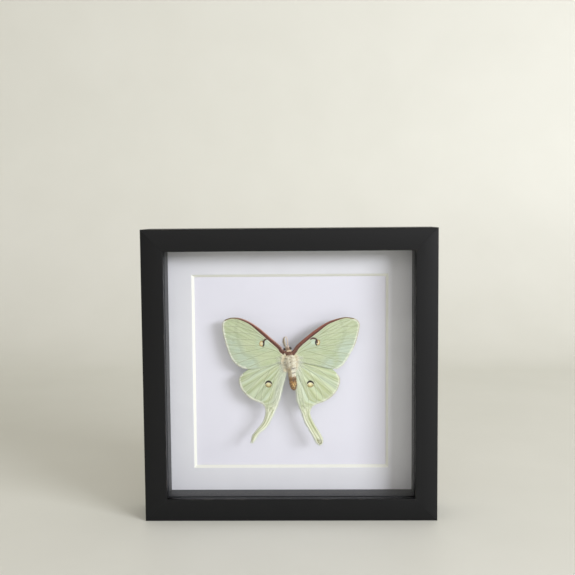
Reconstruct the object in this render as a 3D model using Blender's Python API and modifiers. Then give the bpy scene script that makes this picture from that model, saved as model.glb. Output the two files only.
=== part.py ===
"""A mounted luna moth in a square black shadow-box frame, at its real size.

The frame stands upright on its bottom rail and faces -Y. The origin is under the middle of the frame, on
the surface that it stands on. X runs along the frame's width and Z runs up. Depth is counted from the
frame's front towards +Y, and the moth's height, its rise, is counted from the backing board towards -Y.
"""

import math

import bmesh
import bpy
from mathutils import Matrix, Vector
from mathutils.geometry import delaunay_2d_cdt, intersect_line_line_2d

MM = 0.001
GAP = 0.3 * MM

# The frame
FRAME_SIDE = 230 * MM
FRAME_DEPTH = 45 * MM
RAIL_FACE = 17.4 * MM
RAIL_WALL = 9 * MM
LIP_THICK = 5.5 * MM
EDGE_ROUND = 0.6 * MM
GLASS_THICK = 2 * MM
MAT_DEPTH = 25.9 * MM
MAT_THICK = 2.2 * MM
MAT_OPENING = 158 * MM
MAT_DROP = 0.7 * MM
BACKING_THICK = 5 * MM
PANEL_THICK = 3 * MM
TAB_SIZE = (14 * MM, 10 * MM, 0.6 * MM)
TAB_PLACES = (-60 * MM, 60 * MM)
HANGER_LENGTH = 44 * MM
HANGER_HEIGHT = 9 * MM
HANGER_THICK = 1 * MM
HANGER_TEETH = 9
TEETH_SHARE = 0.55
TOOTH_DEPTH = 0.6
HANGER_BELOW_TOP = 32 * MM
NAIL_RADIUS = 2 * MM
NAIL_THICK = 0.8 * MM
NAIL_FROM_END = 4 * MM
CUT_OVER = 1 * MM

# Where the moth sits: the middle of its collar, from the origin
MOTH_X = -0.8 * MM
MOTH_Z = 131.2 * MM
BODY_RISE = 14.1 * MM
BODY_LEAN = math.radians(6.8)
BODY_SIDE = 0.25 * MM
BODY_FLATNESS = 0.92

# The body is one long form, cut into collar, thorax and abdomen: millimetres up the body from the middle
# of the collar, and the radius there
BODY_RADII = (
    (1.9, 2.1), (1.2, 2.8), (0.3, 3.2), (-0.9, 3.05), (-1.45, 3.0), (-2.4, 3.9), (-4.0, 4.5), (-5.8, 4.55),
    (-8.0, 4.25), (-10.0, 3.7), (-11.15, 3.4), (-13.0, 3.45), (-18.0, 3.3), (-23.0, 3.2), (-26.0, 2.95),
    (-28.0, 2.25), (-29.2, 1.3), (-29.8, 0.4),
)
COLLAR_ENDS = (1.9, -1.3)
THORAX_ENDS = (-1.6, -11.0)
ABDOMEN_ENDS = (-11.3, -29.8)
COLLAR_STEP, THORAX_STEP, ABDOMEN_STEP = 0.5, 0.8, 0.7
BODY_SIDES = 20
ABDOMEN_RINGS = 7
RING_GROOVE = 0.22
RING_SHARPNESS = 6

# The head, in the body's own frame
HEAD_SIDE = -1.0 * MM
HEAD_UP = 3.75 * MM
HEAD_HALF = (2.3 * MM, 2.1 * MM, 1.55 * MM)
EYE_APART = 4.3 * MM
EYE_RADIUS = 1.2 * MM
EYE_FORWARD = 0.2 * MM
HEAD_SIDES, EYE_SIDES = 20, 14
PALP_APART = 1.3 * MM
PALP_DROP = 1.25 * MM
PALP_PROFILE = ((0.0, 0.0), (0.4, 0.0), (0.5, 0.3), (0.42, 0.6), (0.22, 0.85), (0.0, 0.95))
PALP_SIDES = 10

# The feelers: millimetres across and up from the collar, and above the backing
LEFT_FEELER = ((-2.2, 4.75, 16.0), (-2.8, 5.7, 16.4), (-3.5, 7.6, 16.7), (-4.0, 10.0, 16.5),
               (-3.9, 12.0, 16.2), (-3.2, 13.4, 16.0))
RIGHT_FEELER = ((-0.6, 4.95, 16.0), (-0.9, 5.8, 16.4), (-1.05, 8.0, 16.7), (-1.15, 10.3, 16.5),
                (-1.6, 12.2, 16.2), (-2.6, 13.6, 16.0))
FEELER_TURN = {"left": math.radians(62), "right": math.radians(12)}
FEELER_RADII = (0.42, 0.25)
FEELER_STEP = 1.1
BARB_PAIRS = 8
BARB_LENGTH = 1.7
BARB_SWELL = (0.12, 0.8)
BARB_RADII = (0.28, 0.12)
BARB_SIDES = 4
BARB_SLANT = math.radians(38)

# The legs: one of each pair in the body's frame, folded under the thorax. Millimetres out, up from the
# leg's own place along the body, and behind the body's middle line
LEG_PLACES = (-2.9, -6.1, -9.3)
LEG_PATH = ((1.7, 0.0, 4.3), (1.9, 0.2, 4.95), (3.6, 0.9, 5.6), (6.2, 0.9, 5.4), (6.7, 0.2, 5.8),
            (4.4, -0.7, 6.6), (2.4, -0.9, 7.2), (1.4, -1.0, 7.5))
LEG_RADII = (0.45, 0.28)
LEG_STEP = 1.0

# The pin
PIN_RADIUS = 0.3 * MM
PIN_DOWN = 6.7 * MM
PIN_PROUD = 0.6 * MM
PIN_SUNK = 3.2 * MM
PIN_SIDES, HOLE_SIDES = 12, 16

# The wings
WING_THICK = 0.5 * MM
WING_ROOT_RISE = 15.0
WING_DROOP = 0.10
WING_CAMBER = 0.8
WING_SPAN = 50
WING_STEP = 0.525
TAIL_START = -40
TAIL_REACH = 32
TAIL_LIFT = {-1: 5.0, 1: 1.8}
OUTLINE_STEP = 2.2
VEIN_STEP = 2.4
VEIN_HALF_WIDTH = 0.55
VEIN_HEIGHT = 0.28
COSTA_HALF_WIDTH = 1.0
COSTA_HEIGHT = 0.4
ROOT_STEP = 0.9
ROOT_LOOK = 0.4
SAME_POINT = 0.6
VEIN_EDGE_GAP = 0.9
COSTA_EDGE_GAP = 0.7
BESIDE_EDGE_GAP = 0.35
BESIDE_APART = 0.45
BESIDE_SHARE = 0.9
FILL_STEP = 5.0
FILL_EDGE_GAP = 1.5
FILL_APART = 1.6

# Outlines of the wings, as millimetres out from the middle of the collar and up from it. A line runs from
# the front of the root round to the back of it, and a new tuple starts where the real edge has a corner
FOREWING = {
    -1: (
        ((4.85, 2.9), (5.9, 4.9), (8.6, 7.6), (14.2, 12.5), (22.7, 19.8), (31.25, 25.3), (39.0, 28.1),
         (46.0, 28.2), (50.7, 26.6)),
        ((50.7, 26.6), (52.7, 23.9), (53.0, 20.0), (51.6, 12.0), (49.5, 4.4), (47.4, -1.7),
         (43.8, -7.6), (38.8, -11.2), (35.0, -12.5)),
        ((35.0, -12.5), (28.4, -12.4), (21.3, -11.2), (12.5, -8.7)),
    ),
    1: (
        ((4.0, 3.4), (5.0, 5.2), (7.6, 8.0), (11.6, 11.5), (20.0, 18.1), (28.8, 23.7), (36.8, 26.8),
         (44.9, 28.2), (51.3, 27.3)),
        ((51.3, 27.3), (54.9, 24.8), (56.0, 21.0), (54.6, 13.5), (52.0, 5.3), (47.8, -2.2),
         (43.2, -9.1), (39.0, -12.5), (36.7, -13.2)),
        ((36.7, -13.2), (28.7, -11.8), (20.7, -9.6), (13.2, -7.9)),
    ),
}
FOREWING_ROOT = (1.0, -5.2)
HINDWING = {
    -1: (
        ((12.0, -3.4), (20.0, -4.6), (27.0, -8.2), (33.5, -13.6), (38.4, -17.6)),
        ((38.4, -17.6), (40.0, -20.5), (40.1, -24.0), (38.7, -27.9), (35.2, -33.1), (30.0, -37.2),
         (24.6, -39.3), (21.6, -40.8)),
        ((21.6, -40.8), (19.8, -43.3), (19.2, -47.5), (21.2, -54.8), (26.2, -61.2), (29.7, -65.6),
         (30.6, -69.0), (31.3, -71.5)),
        ((31.3, -71.5), (28.9, -70.8), (26.8, -67.6), (24.3, -64.0), (18.9, -59.6), (14.7, -52.8),
         (10.6, -44.0), (7.4, -35.2), (5.4, -27.0), (3.9, -21.4)),
    ),
    1: (
        ((12.0, -3.4), (20.0, -4.6), (28.0, -8.4), (34.6, -13.4), (38.6, -17.9)),
        ((38.6, -17.9), (40.1, -21.0), (40.0, -24.6), (38.0, -30.0), (33.6, -35.2), (28.0, -38.8),
         (20.5, -41.5), (18.3, -43.0)),
        ((18.3, -43.0), (16.7, -46.0), (16.5, -50.0), (19.5, -56.9), (23.7, -63.8), (26.1, -68.3),
         (26.5, -71.6), (25.1, -74.1)),
        ((25.1, -74.1), (21.8, -72.8), (19.2, -68.1), (15.0, -60.5), (12.0, -55.0), (10.0, -48.8),
         (7.6, -42.0), (6.0, -36.0)),
    ),
}
HINDWING_ROOT = (-3.4, -11.0)

# Main veins, in the left wing's millimetres, as lines from near the root to past the edge. One that
# branches off another starts on one of its points
FOREWING_VEINS = (
    ((5.5, -1.6), (11.2, 2.4), (19.5, 4.6), (24.2, 6.2), (38.3, 6.3), (52.0, 6.6)),
    ((8.6, 3.0), (14.4, 7.4), (19.8, 11.2), (27.1, 14.6), (40.0, 16.6), (54.0, 16.4)),
    ((19.8, 11.2), (24.1, 10.7), (40.8, 11.2), (53.0, 11.2)),
    ((14.4, 7.4), (23.0, 15.0), (31.1, 18.4), (41.0, 21.2), (55.0, 21.6)),
    ((23.0, 15.0), (31.0, 20.6), (39.0, 24.4), (46.0, 26.2)),
    ((19.5, 4.6), (27.2, 2.8), (37.9, 0.2), (49.0, -2.2)),
    ((11.2, 2.4), (19.2, 0.2), (34.4, -5.5), (46.0, -10.0)),
    ((5.8, -3.4), (11.2, -3.8), (18.3, -4.9), (29.4, -10.0), (36.0, -12.6)),
)
HINDWING_VEINS = (
    ((6.5, -6.5), (14.3, -10.3), (23.4, -13.6), (33.0, -20.7), (41.5, -25.0)),
    ((8.5, -9.5), (15.3, -13.4), (22.4, -19.0), (31.0, -28.5), (36.5, -34.0)),
    ((15.3, -13.4), (19.4, -21.3), (24.6, -30.2), (28.6, -39.6)),
    ((19.4, -21.3), (20.4, -26.5), (22.0, -33.0), (22.6, -41.5)),
    ((7.0, -10.5), (11.6, -20.0), (14.2, -30.0), (16.6, -40.0), (17.4, -48.0)),
    ((5.8, -12.0), (8.6, -20.4), (10.3, -30.6), (12.4, -40.0), (15.0, -47.0)),
)
TAIL_VEINS = {
    -1: ((15.0, -47.0), (18.2, -54.0), (22.6, -60.6), (27.4, -65.6), (29.6, -69.4)),
    1: ((13.0, -47.0), (14.9, -54.0), (18.0, -61.0), (21.6, -67.4), (24.0, -71.6)),
}
TAIL_SWING = {-1: 0.0, 1: -2.0}
TAIL_SWING_ENDS = (-30, -47)
RIGHT_VEINS_WIDER = 1.05
RIGHT_VEINS_LOWER = 0.97

COLOURS = {
    "black_wood": ((0.022, 0.024, 0.024), 0.45, 0.0),
    "glass": ((0.8, 0.85, 0.85), 0.05, 0.0),
    "black_card": ((0.05, 0.05, 0.05), 0.8, 0.0),
    "mat_board": ((0.62, 0.62, 0.66), 0.9, 0.0),
    "foam_board": ((0.76, 0.76, 0.82), 0.9, 0.0),
    "fibreboard": ((0.25, 0.16, 0.09), 0.85, 0.0),
    "steel": ((0.55, 0.55, 0.56), 0.35, 1.0),
    "maroon_fur": ((0.16, 0.035, 0.025), 0.9, 0.0),
    "cream_fur": ((0.72, 0.66, 0.5), 0.95, 0.0),
    "golden_fur": ((0.42, 0.26, 0.09), 0.95, 0.0),
    "green_wing": ((0.5, 0.62, 0.36), 0.8, 0.0),
    "eye": ((0.02, 0.012, 0.01), 0.2, 0.0),
    "feeler": ((0.55, 0.4, 0.25), 0.8, 0.0),
}

BACKING_Y = -FRAME_DEPTH / 2 + MAT_DEPTH + MAT_THICK + GAP


def clear_scene():
    for obj in list(bpy.data.objects):
        bpy.data.objects.remove(obj, do_unlink=True)


def collection_called(name):
    made = bpy.data.collections.new(name)
    bpy.context.scene.collection.children.link(made)
    return made


def material_called(name):
    colour, roughness, metallic = COLOURS[name]
    made = bpy.data.materials.new(name)
    made.use_nodes = True
    shader = made.node_tree.nodes["Principled BSDF"]
    shader.inputs["Base Color"].default_value = (*colour, 1)
    shader.inputs["Roughness"].default_value = roughness
    shader.inputs["Metallic"].default_value = metallic
    return made


clear_scene()
PARTS = collection_called("framed_luna_moth")
CUTTERS = collection_called("cutters")
MATERIALS = {name: material_called(name) for name in COLOURS}


def add(name, data, material=None, collection=None):
    """An object in the model's collection, with its material."""
    obj = bpy.data.objects.new(name, data)
    (collection or PARTS).objects.link(obj)
    if material:
        data.materials.append(MATERIALS[material])
    return obj


def mesh_from(bm, name):
    """The mesh of a bmesh, with its faces turned outwards."""
    bmesh.ops.recalc_face_normals(bm, faces=bm.faces)
    mesh = bpy.data.meshes.new(name)
    bm.to_mesh(mesh)
    bm.free()
    return mesh


def smooth(obj, angle=40):
    obj.data.shade_smooth()
    obj.data.set_sharp_from_angle(angle=math.radians(angle))


def as_cutter(obj):
    CUTTERS.objects.link(obj)
    PARTS.objects.unlink(obj)
    obj.hide_render = True
    obj.display_type = "WIRE"
    return obj


def cut(obj, cutter):
    """Takes a cutter's shape out of a piece."""
    step = obj.modifiers.new("cut", "BOOLEAN")
    step.operation = "DIFFERENCE"
    step.solver = "EXACT"
    step.object = cutter


def box(name, low, high, material):
    """A plain block between two corners."""
    bm = bmesh.new()
    bmesh.ops.create_cube(bm, size=1)
    bmesh.ops.scale(bm, vec=Vector(high) - Vector(low), verts=bm.verts)
    obj = add(name, mesh_from(bm, name), material)
    obj.location = (Vector(high) + Vector(low)) / 2
    return obj


def rod(name, radius, start, end, sides, material=None):
    """A round bar along Y, between two depths at one place: start and end are full points."""
    bm = bmesh.new()
    start, end = Vector(start), Vector(end)
    length = (end - start).length
    bmesh.ops.create_cone(bm, cap_ends=True, segments=sides, radius1=radius, radius2=radius, depth=length)
    obj = add(name, mesh_from(bm, name), material)
    obj.location = (start + end) / 2
    obj.rotation_euler = (math.radians(90), 0, 0)
    smooth(obj)
    return obj


def tapered_bar(bm, start, end, radii, sides):
    """Adds a bar that tapers from start to end, with flat ends."""
    start, end = Vector(start), Vector(end)
    along = end - start
    turn = along.to_track_quat("Z", "Y").to_matrix().to_4x4()
    place = Matrix.Translation((start + end) / 2) @ turn
    bmesh.ops.create_cone(
        bm, cap_ends=True, segments=sides, radius1=radii[0], radius2=radii[1], depth=along.length,
        matrix=place,
    )


def curve_through(points, step):
    """Points about a step apart on a smooth line through the given ones, both ends included."""
    points = [Vector(point) for point in points]
    ends = [2 * points[0] - points[1], *points, 2 * points[-1] - points[-2]]
    line = []
    for before, here, there, after in zip(ends, ends[1:], ends[2:], ends[3:]):
        count = max(1, round((there - here).length / step))
        for index in range(count):
            t = index / count
            line.append(
                0.5 * (2 * here + (there - before) * t
                       + (2 * before - 5 * here + 4 * there - after) * t * t
                       + (3 * here - before - 3 * there + after) * t ** 3)
            )
    line.append(points[-1])
    return line


def tube(name, points, radii, material, sides_level=1):
    """A smooth tube through points in metres, from the first radius to the second."""
    data = bpy.data.curves.new(name, "CURVE")
    data.dimensions = "3D"
    data.bevel_depth = 1
    data.bevel_resolution = sides_level
    data.use_fill_caps = True
    spline = data.splines.new("POLY")
    spline.points.add(len(points) - 1)
    for index, (point, place) in enumerate(zip(spline.points, points)):
        share = index / (len(points) - 1)
        point.co = (*place, 1)
        point.radius = radii[0] + (radii[1] - radii[0]) * share
    return add(name, data, material)


def tube_to_mesh(obj, material):
    """Turns a tube into a closed mesh object of the same name."""
    name = obj.name
    bpy.context.view_layer.update()
    graph = bpy.context.evaluated_depsgraph_get()
    mesh = bpy.data.meshes.new_from_object(obj.evaluated_get(graph))
    bm = bmesh.new()
    bm.from_mesh(mesh)
    bmesh.ops.remove_doubles(bm, verts=bm.verts, dist=0.001 * MM)
    bmesh.ops.recalc_face_normals(bm, faces=bm.faces)
    bm.to_mesh(mesh)
    bm.free()
    matrix = obj.matrix_world.copy()
    bpy.data.objects.remove(obj, do_unlink=True)
    mesh.materials.clear()
    made = add(name, mesh, material)
    made.matrix_world = matrix
    return made


# Frame: four mitred rails, glass, spacer, mat, backing, back panel, tabs and hanger


def rail_mesh():
    """The bottom rail round the frame's centre: its L-shaped section pushed along X, with mitred ends."""
    half = FRAME_SIDE / 2
    window = half - RAIL_FACE
    wall = half - RAIL_WALL
    front = -FRAME_DEPTH / 2
    lip = front + LIP_THICK
    section = ((window, front), (half, front), (half, -front), (wall, -front), (wall, lip), (window, lip))
    mitre_gap = GAP / math.sqrt(2)
    bm = bmesh.new()
    corners = [bm.verts.new((out - mitre_gap, y, -out)) for out, y in section]
    end = bm.faces.new(corners)
    pushed = bmesh.ops.extrude_face_region(bm, geom=[end])["geom"]
    for vert in pushed:
        if isinstance(vert, bmesh.types.BMVert):
            vert.co.x = -vert.co.x
    return mesh_from(bm, "rail")


def make_rails():
    mesh = rail_mesh()
    mesh.materials.append(MATERIALS["black_wood"])
    for quarter, side in enumerate(("bottom", "left", "top", "right")):
        rail = add(f"rail_{side}", mesh)
        rail.location = (0, 0, FRAME_SIDE / 2)
        rail.rotation_euler = (0, math.radians(90) * quarter, 0)
        edges = rail.modifiers.new("rounded edges", "BEVEL")
        edges.width = EDGE_ROUND
        edges.segments = 2
        edges.limit_method = "ANGLE"


def sheet_in_rebate(name, depth, thick, material):
    """A square sheet that fills the rebate behind the lip, its face this deep in the frame."""
    half = FRAME_SIDE / 2 - RAIL_WALL - GAP
    middle = FRAME_SIDE / 2
    front = -FRAME_DEPTH / 2 + depth
    return box(name, (-half, front, middle - half), (half, front + thick, middle + half), material)


def window_cutter(name, front_half, slope, depth, thick, drop):
    """A square cutter: half its width where it meets the face, and how much that shrinks per depth."""
    halves = (front_half + slope * CUT_OVER, front_half - slope * (thick + CUT_OVER))
    radii = [half * math.sqrt(2) for half in halves]
    bm = bmesh.new()
    bmesh.ops.create_cone(
        bm, cap_ends=True, segments=4, radius1=radii[0], radius2=radii[1], depth=thick + 2 * CUT_OVER,
        matrix=Matrix.Rotation(math.radians(-90), 4, "X") @ Matrix.Rotation(math.radians(45), 4, "Z"),
    )
    cutter = as_cutter(add(name, mesh_from(bm, name)))
    cutter.location = (0, -FRAME_DEPTH / 2 + depth + thick / 2, FRAME_SIDE / 2 - drop)
    return cutter


def make_sheets():
    glass_depth = LIP_THICK + GAP
    spacer_depth = glass_depth + GLASS_THICK + GAP
    spacer_thick = MAT_DEPTH - GAP - spacer_depth
    backing_depth = MAT_DEPTH + MAT_THICK + GAP
    panel_depth = backing_depth + BACKING_THICK + GAP
    sheet_in_rebate("glass_pane", glass_depth, GLASS_THICK, "glass")
    spacer = sheet_in_rebate("spacer_ring", spacer_depth, spacer_thick, "black_card")
    window = FRAME_SIDE / 2 - RAIL_FACE
    cut(spacer, window_cutter("spacer_window", window, 0, spacer_depth, spacer_thick, 0))
    mat = sheet_in_rebate("mat_board", MAT_DEPTH, MAT_THICK, "mat_board")
    cut(mat, window_cutter("mat_window", MAT_OPENING / 2, 1, MAT_DEPTH, MAT_THICK, MAT_DROP))
    backing = sheet_in_rebate("backing_board", backing_depth, BACKING_THICK, "foam_board")
    hole = rod("pin_hole", PIN_RADIUS + GAP, pin_point(GAP), pin_point(-PIN_SUNK - GAP), HOLE_SIDES)
    cut(backing, as_cutter(hole))
    sheet_in_rebate("back_panel", panel_depth, PANEL_THICK, "fibreboard")
    return -FRAME_DEPTH / 2 + panel_depth + PANEL_THICK + GAP


def make_tabs(behind):
    """Thin steel tabs that lie on the back panel, two at each rail."""
    length, width, thick = TAB_SIZE
    reach = FRAME_SIDE / 2 - RAIL_WALL - GAP
    for quarter in range(4):
        for index, along in enumerate(TAB_PLACES):
            tab = box(
                f"tab_{2 * quarter + index + 1}",
                (along - width / 2, 0, -reach), (along + width / 2, thick, -reach + length), "steel",
            )
            middle = tab.location + Vector((0, behind, 0))
            tab.location = Matrix.Rotation(math.radians(90) * quarter, 3, "Y") @ middle
            tab.location.z += FRAME_SIDE / 2
            tab.rotation_euler = (0, math.radians(90) * quarter, 0)


def make_hanger(behind):
    """A saw-toothed hanger plate near the top of the back panel, with a nail head at each end."""
    half = HANGER_LENGTH / 2
    tooth = HANGER_LENGTH * TEETH_SHARE / HANGER_TEETH
    start = -tooth * HANGER_TEETH / 2
    outline = [(-half, 0), (-half, HANGER_HEIGHT), (half, HANGER_HEIGHT), (half, 0)]
    for index in reversed(range(HANGER_TEETH)):
        outline.append((start + (index + 1) * tooth, 0))
        outline.append((start + (index + 0.5) * tooth, tooth * TOOTH_DEPTH))
    outline.append((start, 0))
    data = bpy.data.curves.new("hanger", "CURVE")
    data.dimensions = "2D"
    data.fill_mode = "BOTH"
    data.extrude = HANGER_THICK / 2
    spline = data.splines.new("POLY")
    spline.points.add(len(outline) - 1)
    for point, (x, z) in zip(spline.points, outline):
        point.co = (x, z, 0, 1)
    spline.use_cyclic_u = True
    hanger = add("hanger", data, "steel")
    hanger.rotation_euler = (math.radians(90), 0, 0)
    base = FRAME_SIDE - HANGER_BELOW_TOP
    hanger.location = (0, behind + HANGER_THICK / 2, base)
    for side, word in ((-1, "left"), (1, "right")):
        face = behind + HANGER_THICK + GAP
        x = side * (half - NAIL_FROM_END)
        z = base + HANGER_HEIGHT / 2
        rod(f"hanger_nail_{word}", NAIL_RADIUS, (x, face, z), (x, face + NAIL_THICK, z), HOLE_SIDES, "steel")


# Body: one long form, parted into collar, thorax and abdomen, with head, eyes, palps, feelers and legs


def body_empty():
    """The body's own frame: at the middle of the collar, its Z towards the head."""
    empty = bpy.data.objects.new("body_axis", None)
    PARTS.objects.link(empty)
    empty.location = (MOTH_X + BODY_SIDE, BACKING_Y - BODY_RISE, MOTH_Z)
    empty.rotation_euler = (0, -BODY_LEAN, 0)
    bpy.context.view_layer.update()
    return empty


BODY_LINE = [(point.x, point.y) for point in curve_through(BODY_RADII, 0.4)]


def body_radius(up):
    """The body's radius in millimetres, this far up from the middle of the collar."""
    for (high, wide), (low, next_wide) in zip(BODY_LINE, BODY_LINE[1:]):
        if low <= up <= high:
            share = (high - up) / max(high - low, 1e-9)
            return wide + (next_wide - wide) * share
    return BODY_LINE[0][1] if up > BODY_LINE[0][0] else BODY_LINE[-1][1]


def ring_groove(up):
    """How far the abdomen's skin sinks between its rings, in millimetres."""
    top, bottom = ABDOMEN_ENDS
    share = (top - up) / (top - bottom)
    return RING_GROOVE * abs(math.cos(math.pi * ABDOMEN_RINGS * share)) ** RING_SHARPNESS


def turned(name, profile, sides, material, parent):
    """A closed form turned round its own Z: millimetres out from the axis and up, from pole to pole."""
    mesh = bpy.data.meshes.new(name)
    corners = [(radius * MM, 0, up * MM) for radius, up in profile]
    mesh.from_pydata(corners, [(index, index + 1) for index in range(len(corners) - 1)], [])
    obj = add(name, mesh, material)
    obj.parent = parent
    turn = obj.modifiers.new("turn", "SCREW")
    turn.axis = "Z"
    turn.steps = turn.render_steps = sides
    turn.use_merge_vertices = True
    turn.merge_threshold = 0.00001
    turn.use_smooth_shade = True
    turn.use_normal_calculate = True
    return obj


def body_part(name, ends, step, material, parent, grooved=False):
    """A length of the body between two heights, turned round the body's axis, with flat ends."""
    top, bottom = ends
    count = round((top - bottom) / step)
    profile = [(0, top)]
    for index in range(count + 1):
        up = top + (bottom - top) * index / count
        sunk = ring_groove(up) if grooved and 0 < index < count else 0
        profile.append((body_radius(up) - sunk, up))
    profile.append((0, bottom))
    obj = turned(name, profile, BODY_SIDES, material, parent)
    obj.scale = (1, BODY_FLATNESS, 1)
    return obj


def ball(name, centre, half, around, material, parent):
    """An egg shape in the body's frame, its poles to left and right."""
    bm = bmesh.new()
    bmesh.ops.create_uvsphere(
        bm, u_segments=around, v_segments=around * 2 // 3, radius=1,
        matrix=Matrix.Diagonal((*half, 1)) @ Matrix.Rotation(math.radians(90), 4, "Y"),
    )
    obj = add(name, mesh_from(bm, name), material)
    obj.parent = parent
    obj.location = centre
    smooth(obj)
    return obj


def make_head(parent):
    """The head, with a socket on each side that an eye sits in, and two short palps under its front."""
    head = ball("head", (HEAD_SIDE, 0, HEAD_UP), HEAD_HALF, HEAD_SIDES, "cream_fur", parent)
    for side, word in ((-1, "left"), (1, "right")):
        place = (HEAD_SIDE + side * EYE_APART / 2, -EYE_FORWARD, HEAD_UP)
        ball(f"eye_{word}", place, (EYE_RADIUS,) * 3, EYE_SIDES, "eye", parent)
        socket = ball(f"eye_socket_{word}", place, (EYE_RADIUS + GAP,) * 3, EYE_SIDES, None, parent)
        cut(head, as_cutter(socket))
        across = side * PALP_APART / 2
        off_axis = (across / HEAD_HALF[0]) ** 2 + (PALP_DROP / HEAD_HALF[1]) ** 2
        front = HEAD_HALF[2] * math.sqrt(1 - off_axis)
        palp = turned(f"palp_{word}", PALP_PROFILE, PALP_SIDES, "cream_fur", parent)
        place = Vector((across, PALP_DROP, front))
        outward = Vector(size / half ** 2 for size, half in zip(place, HEAD_HALF)).normalized()
        palp.location = Vector((HEAD_SIDE, 0, HEAD_UP)) + place + outward * GAP
        palp.rotation_euler = outward.to_track_quat("Z", "Y").to_euler()


def moth_point(x, z, rise):
    """A place in metres, from millimetres across and up from the collar and above the backing."""
    return Vector((MOTH_X + x * MM, BACKING_Y - rise * MM, MOTH_Z + z * MM))


def make_feeler(word, path):
    """A feathered feeler: a tapered shaft with barbs in pairs, the comb turned about the shaft."""
    line = [moth_point(*point) for point in curve_through(path, FEELER_STEP)]
    shaft = tube(f"feeler_{word}", line, [radius * MM for radius in FEELER_RADII], "feeler")
    shaft = tube_to_mesh(shaft, "feeler")
    barbs = collection_called(f"barbs_{word}")
    swell_start, swell_length = BARB_SWELL
    for index in range(BARB_PAIRS):
        share = (index + 1) / (BARB_PAIRS + 1)
        spot = share * (len(line) - 1)
        low = min(int(spot), len(line) - 2)
        root = line[low].lerp(line[low + 1], spot - low)
        along = (line[low + 1] - line[low]).normalized()
        length = BARB_LENGTH * math.sin(math.pi * (swell_start + swell_length * share)) * MM
        comb = Matrix.Rotation(FEELER_TURN[word], 3, along) @ Vector((0, 1, 0))
        for side in (-1, 1):
            aim = along * math.sin(BARB_SLANT) + comb * side * math.cos(BARB_SLANT)
            bm = bmesh.new()
            tip = root + aim.normalized() * length
            tapered_bar(bm, root, tip, [radius * MM for radius in BARB_RADII], BARB_SIDES)
            add("barb", mesh_from(bm, "barb"), None, barbs)
    fuse(shaft, barbs)


def fuse(obj, pieces):
    """Joins a collection of closed pieces to an object by one union, and keeps its largest surface."""
    step = obj.modifiers.new("union", "BOOLEAN")
    step.operation = "UNION"
    step.operand_type = "COLLECTION"
    step.collection = pieces
    step.solver = "EXACT"
    bpy.context.view_layer.update()
    graph = bpy.context.evaluated_depsgraph_get()
    fused = bpy.data.meshes.new_from_object(obj.evaluated_get(graph))
    obj.modifiers.remove(step)
    for piece in list(pieces.objects):
        bpy.data.objects.remove(piece, do_unlink=True)
    bpy.data.collections.remove(pieces)
    keep_largest(fused)
    fused.materials.clear()
    for material in obj.data.materials:
        fused.materials.append(material)
    obj.data = fused
    smooth(obj)


def keep_largest(mesh):
    """Drops every closed surface of a mesh but the one with the most faces."""
    bm = bmesh.new()
    bm.from_mesh(mesh)
    left = set(bm.faces)
    shells = []
    while left:
        reached = [left.pop()]
        shell = set(reached)
        while reached:
            for edge in reached.pop().edges:
                for face in edge.link_faces:
                    if face in left:
                        left.remove(face)
                        shell.add(face)
                        reached.append(face)
        shells.append(shell)
    largest = max(shells, key=len)
    bmesh.ops.delete(bm, geom=[face for face in bm.faces if face not in largest], context="FACES")
    bm.to_mesh(mesh)
    bm.free()


def make_legs(parent):
    """Six thin legs folded under the thorax, each with its root just clear of the body."""
    for pair, place in enumerate(LEG_PLACES, 1):
        for side, word in ((-1, "left"), (1, "right")):
            path = [(side * out, behind, place + up) for out, up, behind in LEG_PATH]
            line = [point * MM for point in curve_through(path, LEG_STEP)]
            leg = tube(f"leg_{word}_{pair}", line, [radius * MM for radius in LEG_RADII], "maroon_fur")
            leg.parent = parent


def pin_point(rise):
    """A point on the pin's line, this far in metres in front of the backing board."""
    x = MOTH_X + BODY_SIDE + PIN_DOWN * math.tan(BODY_LEAN)
    return Vector((x, BACKING_Y - rise, MOTH_Z - PIN_DOWN))


def make_pin(thorax):
    """A steel pin down through the thorax into the backing board, and its bores."""
    top = BODY_RISE + body_radius(-PIN_DOWN / MM) * MM * BODY_FLATNESS + PIN_PROUD
    rod("pin", PIN_RADIUS, pin_point(top), pin_point(-PIN_SUNK), PIN_SIDES, "steel")
    bore = rod("pin_bore", PIN_RADIUS + GAP, pin_point(top + CUT_OVER), pin_point(CUT_OVER), HOLE_SIDES)
    cut(thorax, as_cutter(bore))


# Wings: thin curved sheets with the main veins raised in their own surface


def wing_rise(x, z, side):
    """How high the wings' shared surface lies above the backing, in millimetres."""
    reach = min(max(x, 0), WING_SPAN)
    rise = WING_ROOT_RISE - WING_DROOP * x + WING_CAMBER * math.sin(math.pi * reach / WING_SPAN)
    if z < TAIL_START:
        rise += TAIL_LIFT[side] * ((TAIL_START - z) / TAIL_REACH) ** 2
    return rise


def flank(z, rise, side):
    """How far out the body's skin is at this height, in millimetres from the moth's middle line."""
    up = z / math.cos(BODY_LEAN)
    radius = body_radius(up)
    off = (rise - BODY_RISE / MM) / BODY_FLATNESS
    wide = math.sqrt(max(radius ** 2 - off ** 2, 0.01))
    return wide + side * (BODY_SIDE / MM - z * math.tan(BODY_LEAN))


def clear_of_body(point, layer, side):
    """The point itself, or moved out to where the wing just clears the body's side."""
    if point.y < ABDOMEN_ENDS[1]:
        return point
    rise = wing_rise(4, point.y, side) + layer
    near = max(flank(point.y + nudge, rise, side) for nudge in (-ROOT_LOOK, 0, ROOT_LOOK))
    return Vector((max(point.x, near + GAP / MM), point.y))


def root_line(ends, layer, side):
    """The wing's root: a line that follows the body's side, a gap away from it, from back to front."""
    front, back = ends
    count = round((front - back) / ROOT_STEP)
    heights = [back + (front - back) * index / count for index in range(count + 1)]
    return [clear_of_body(Vector((0, z)), layer, side) for z in heights]


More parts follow.
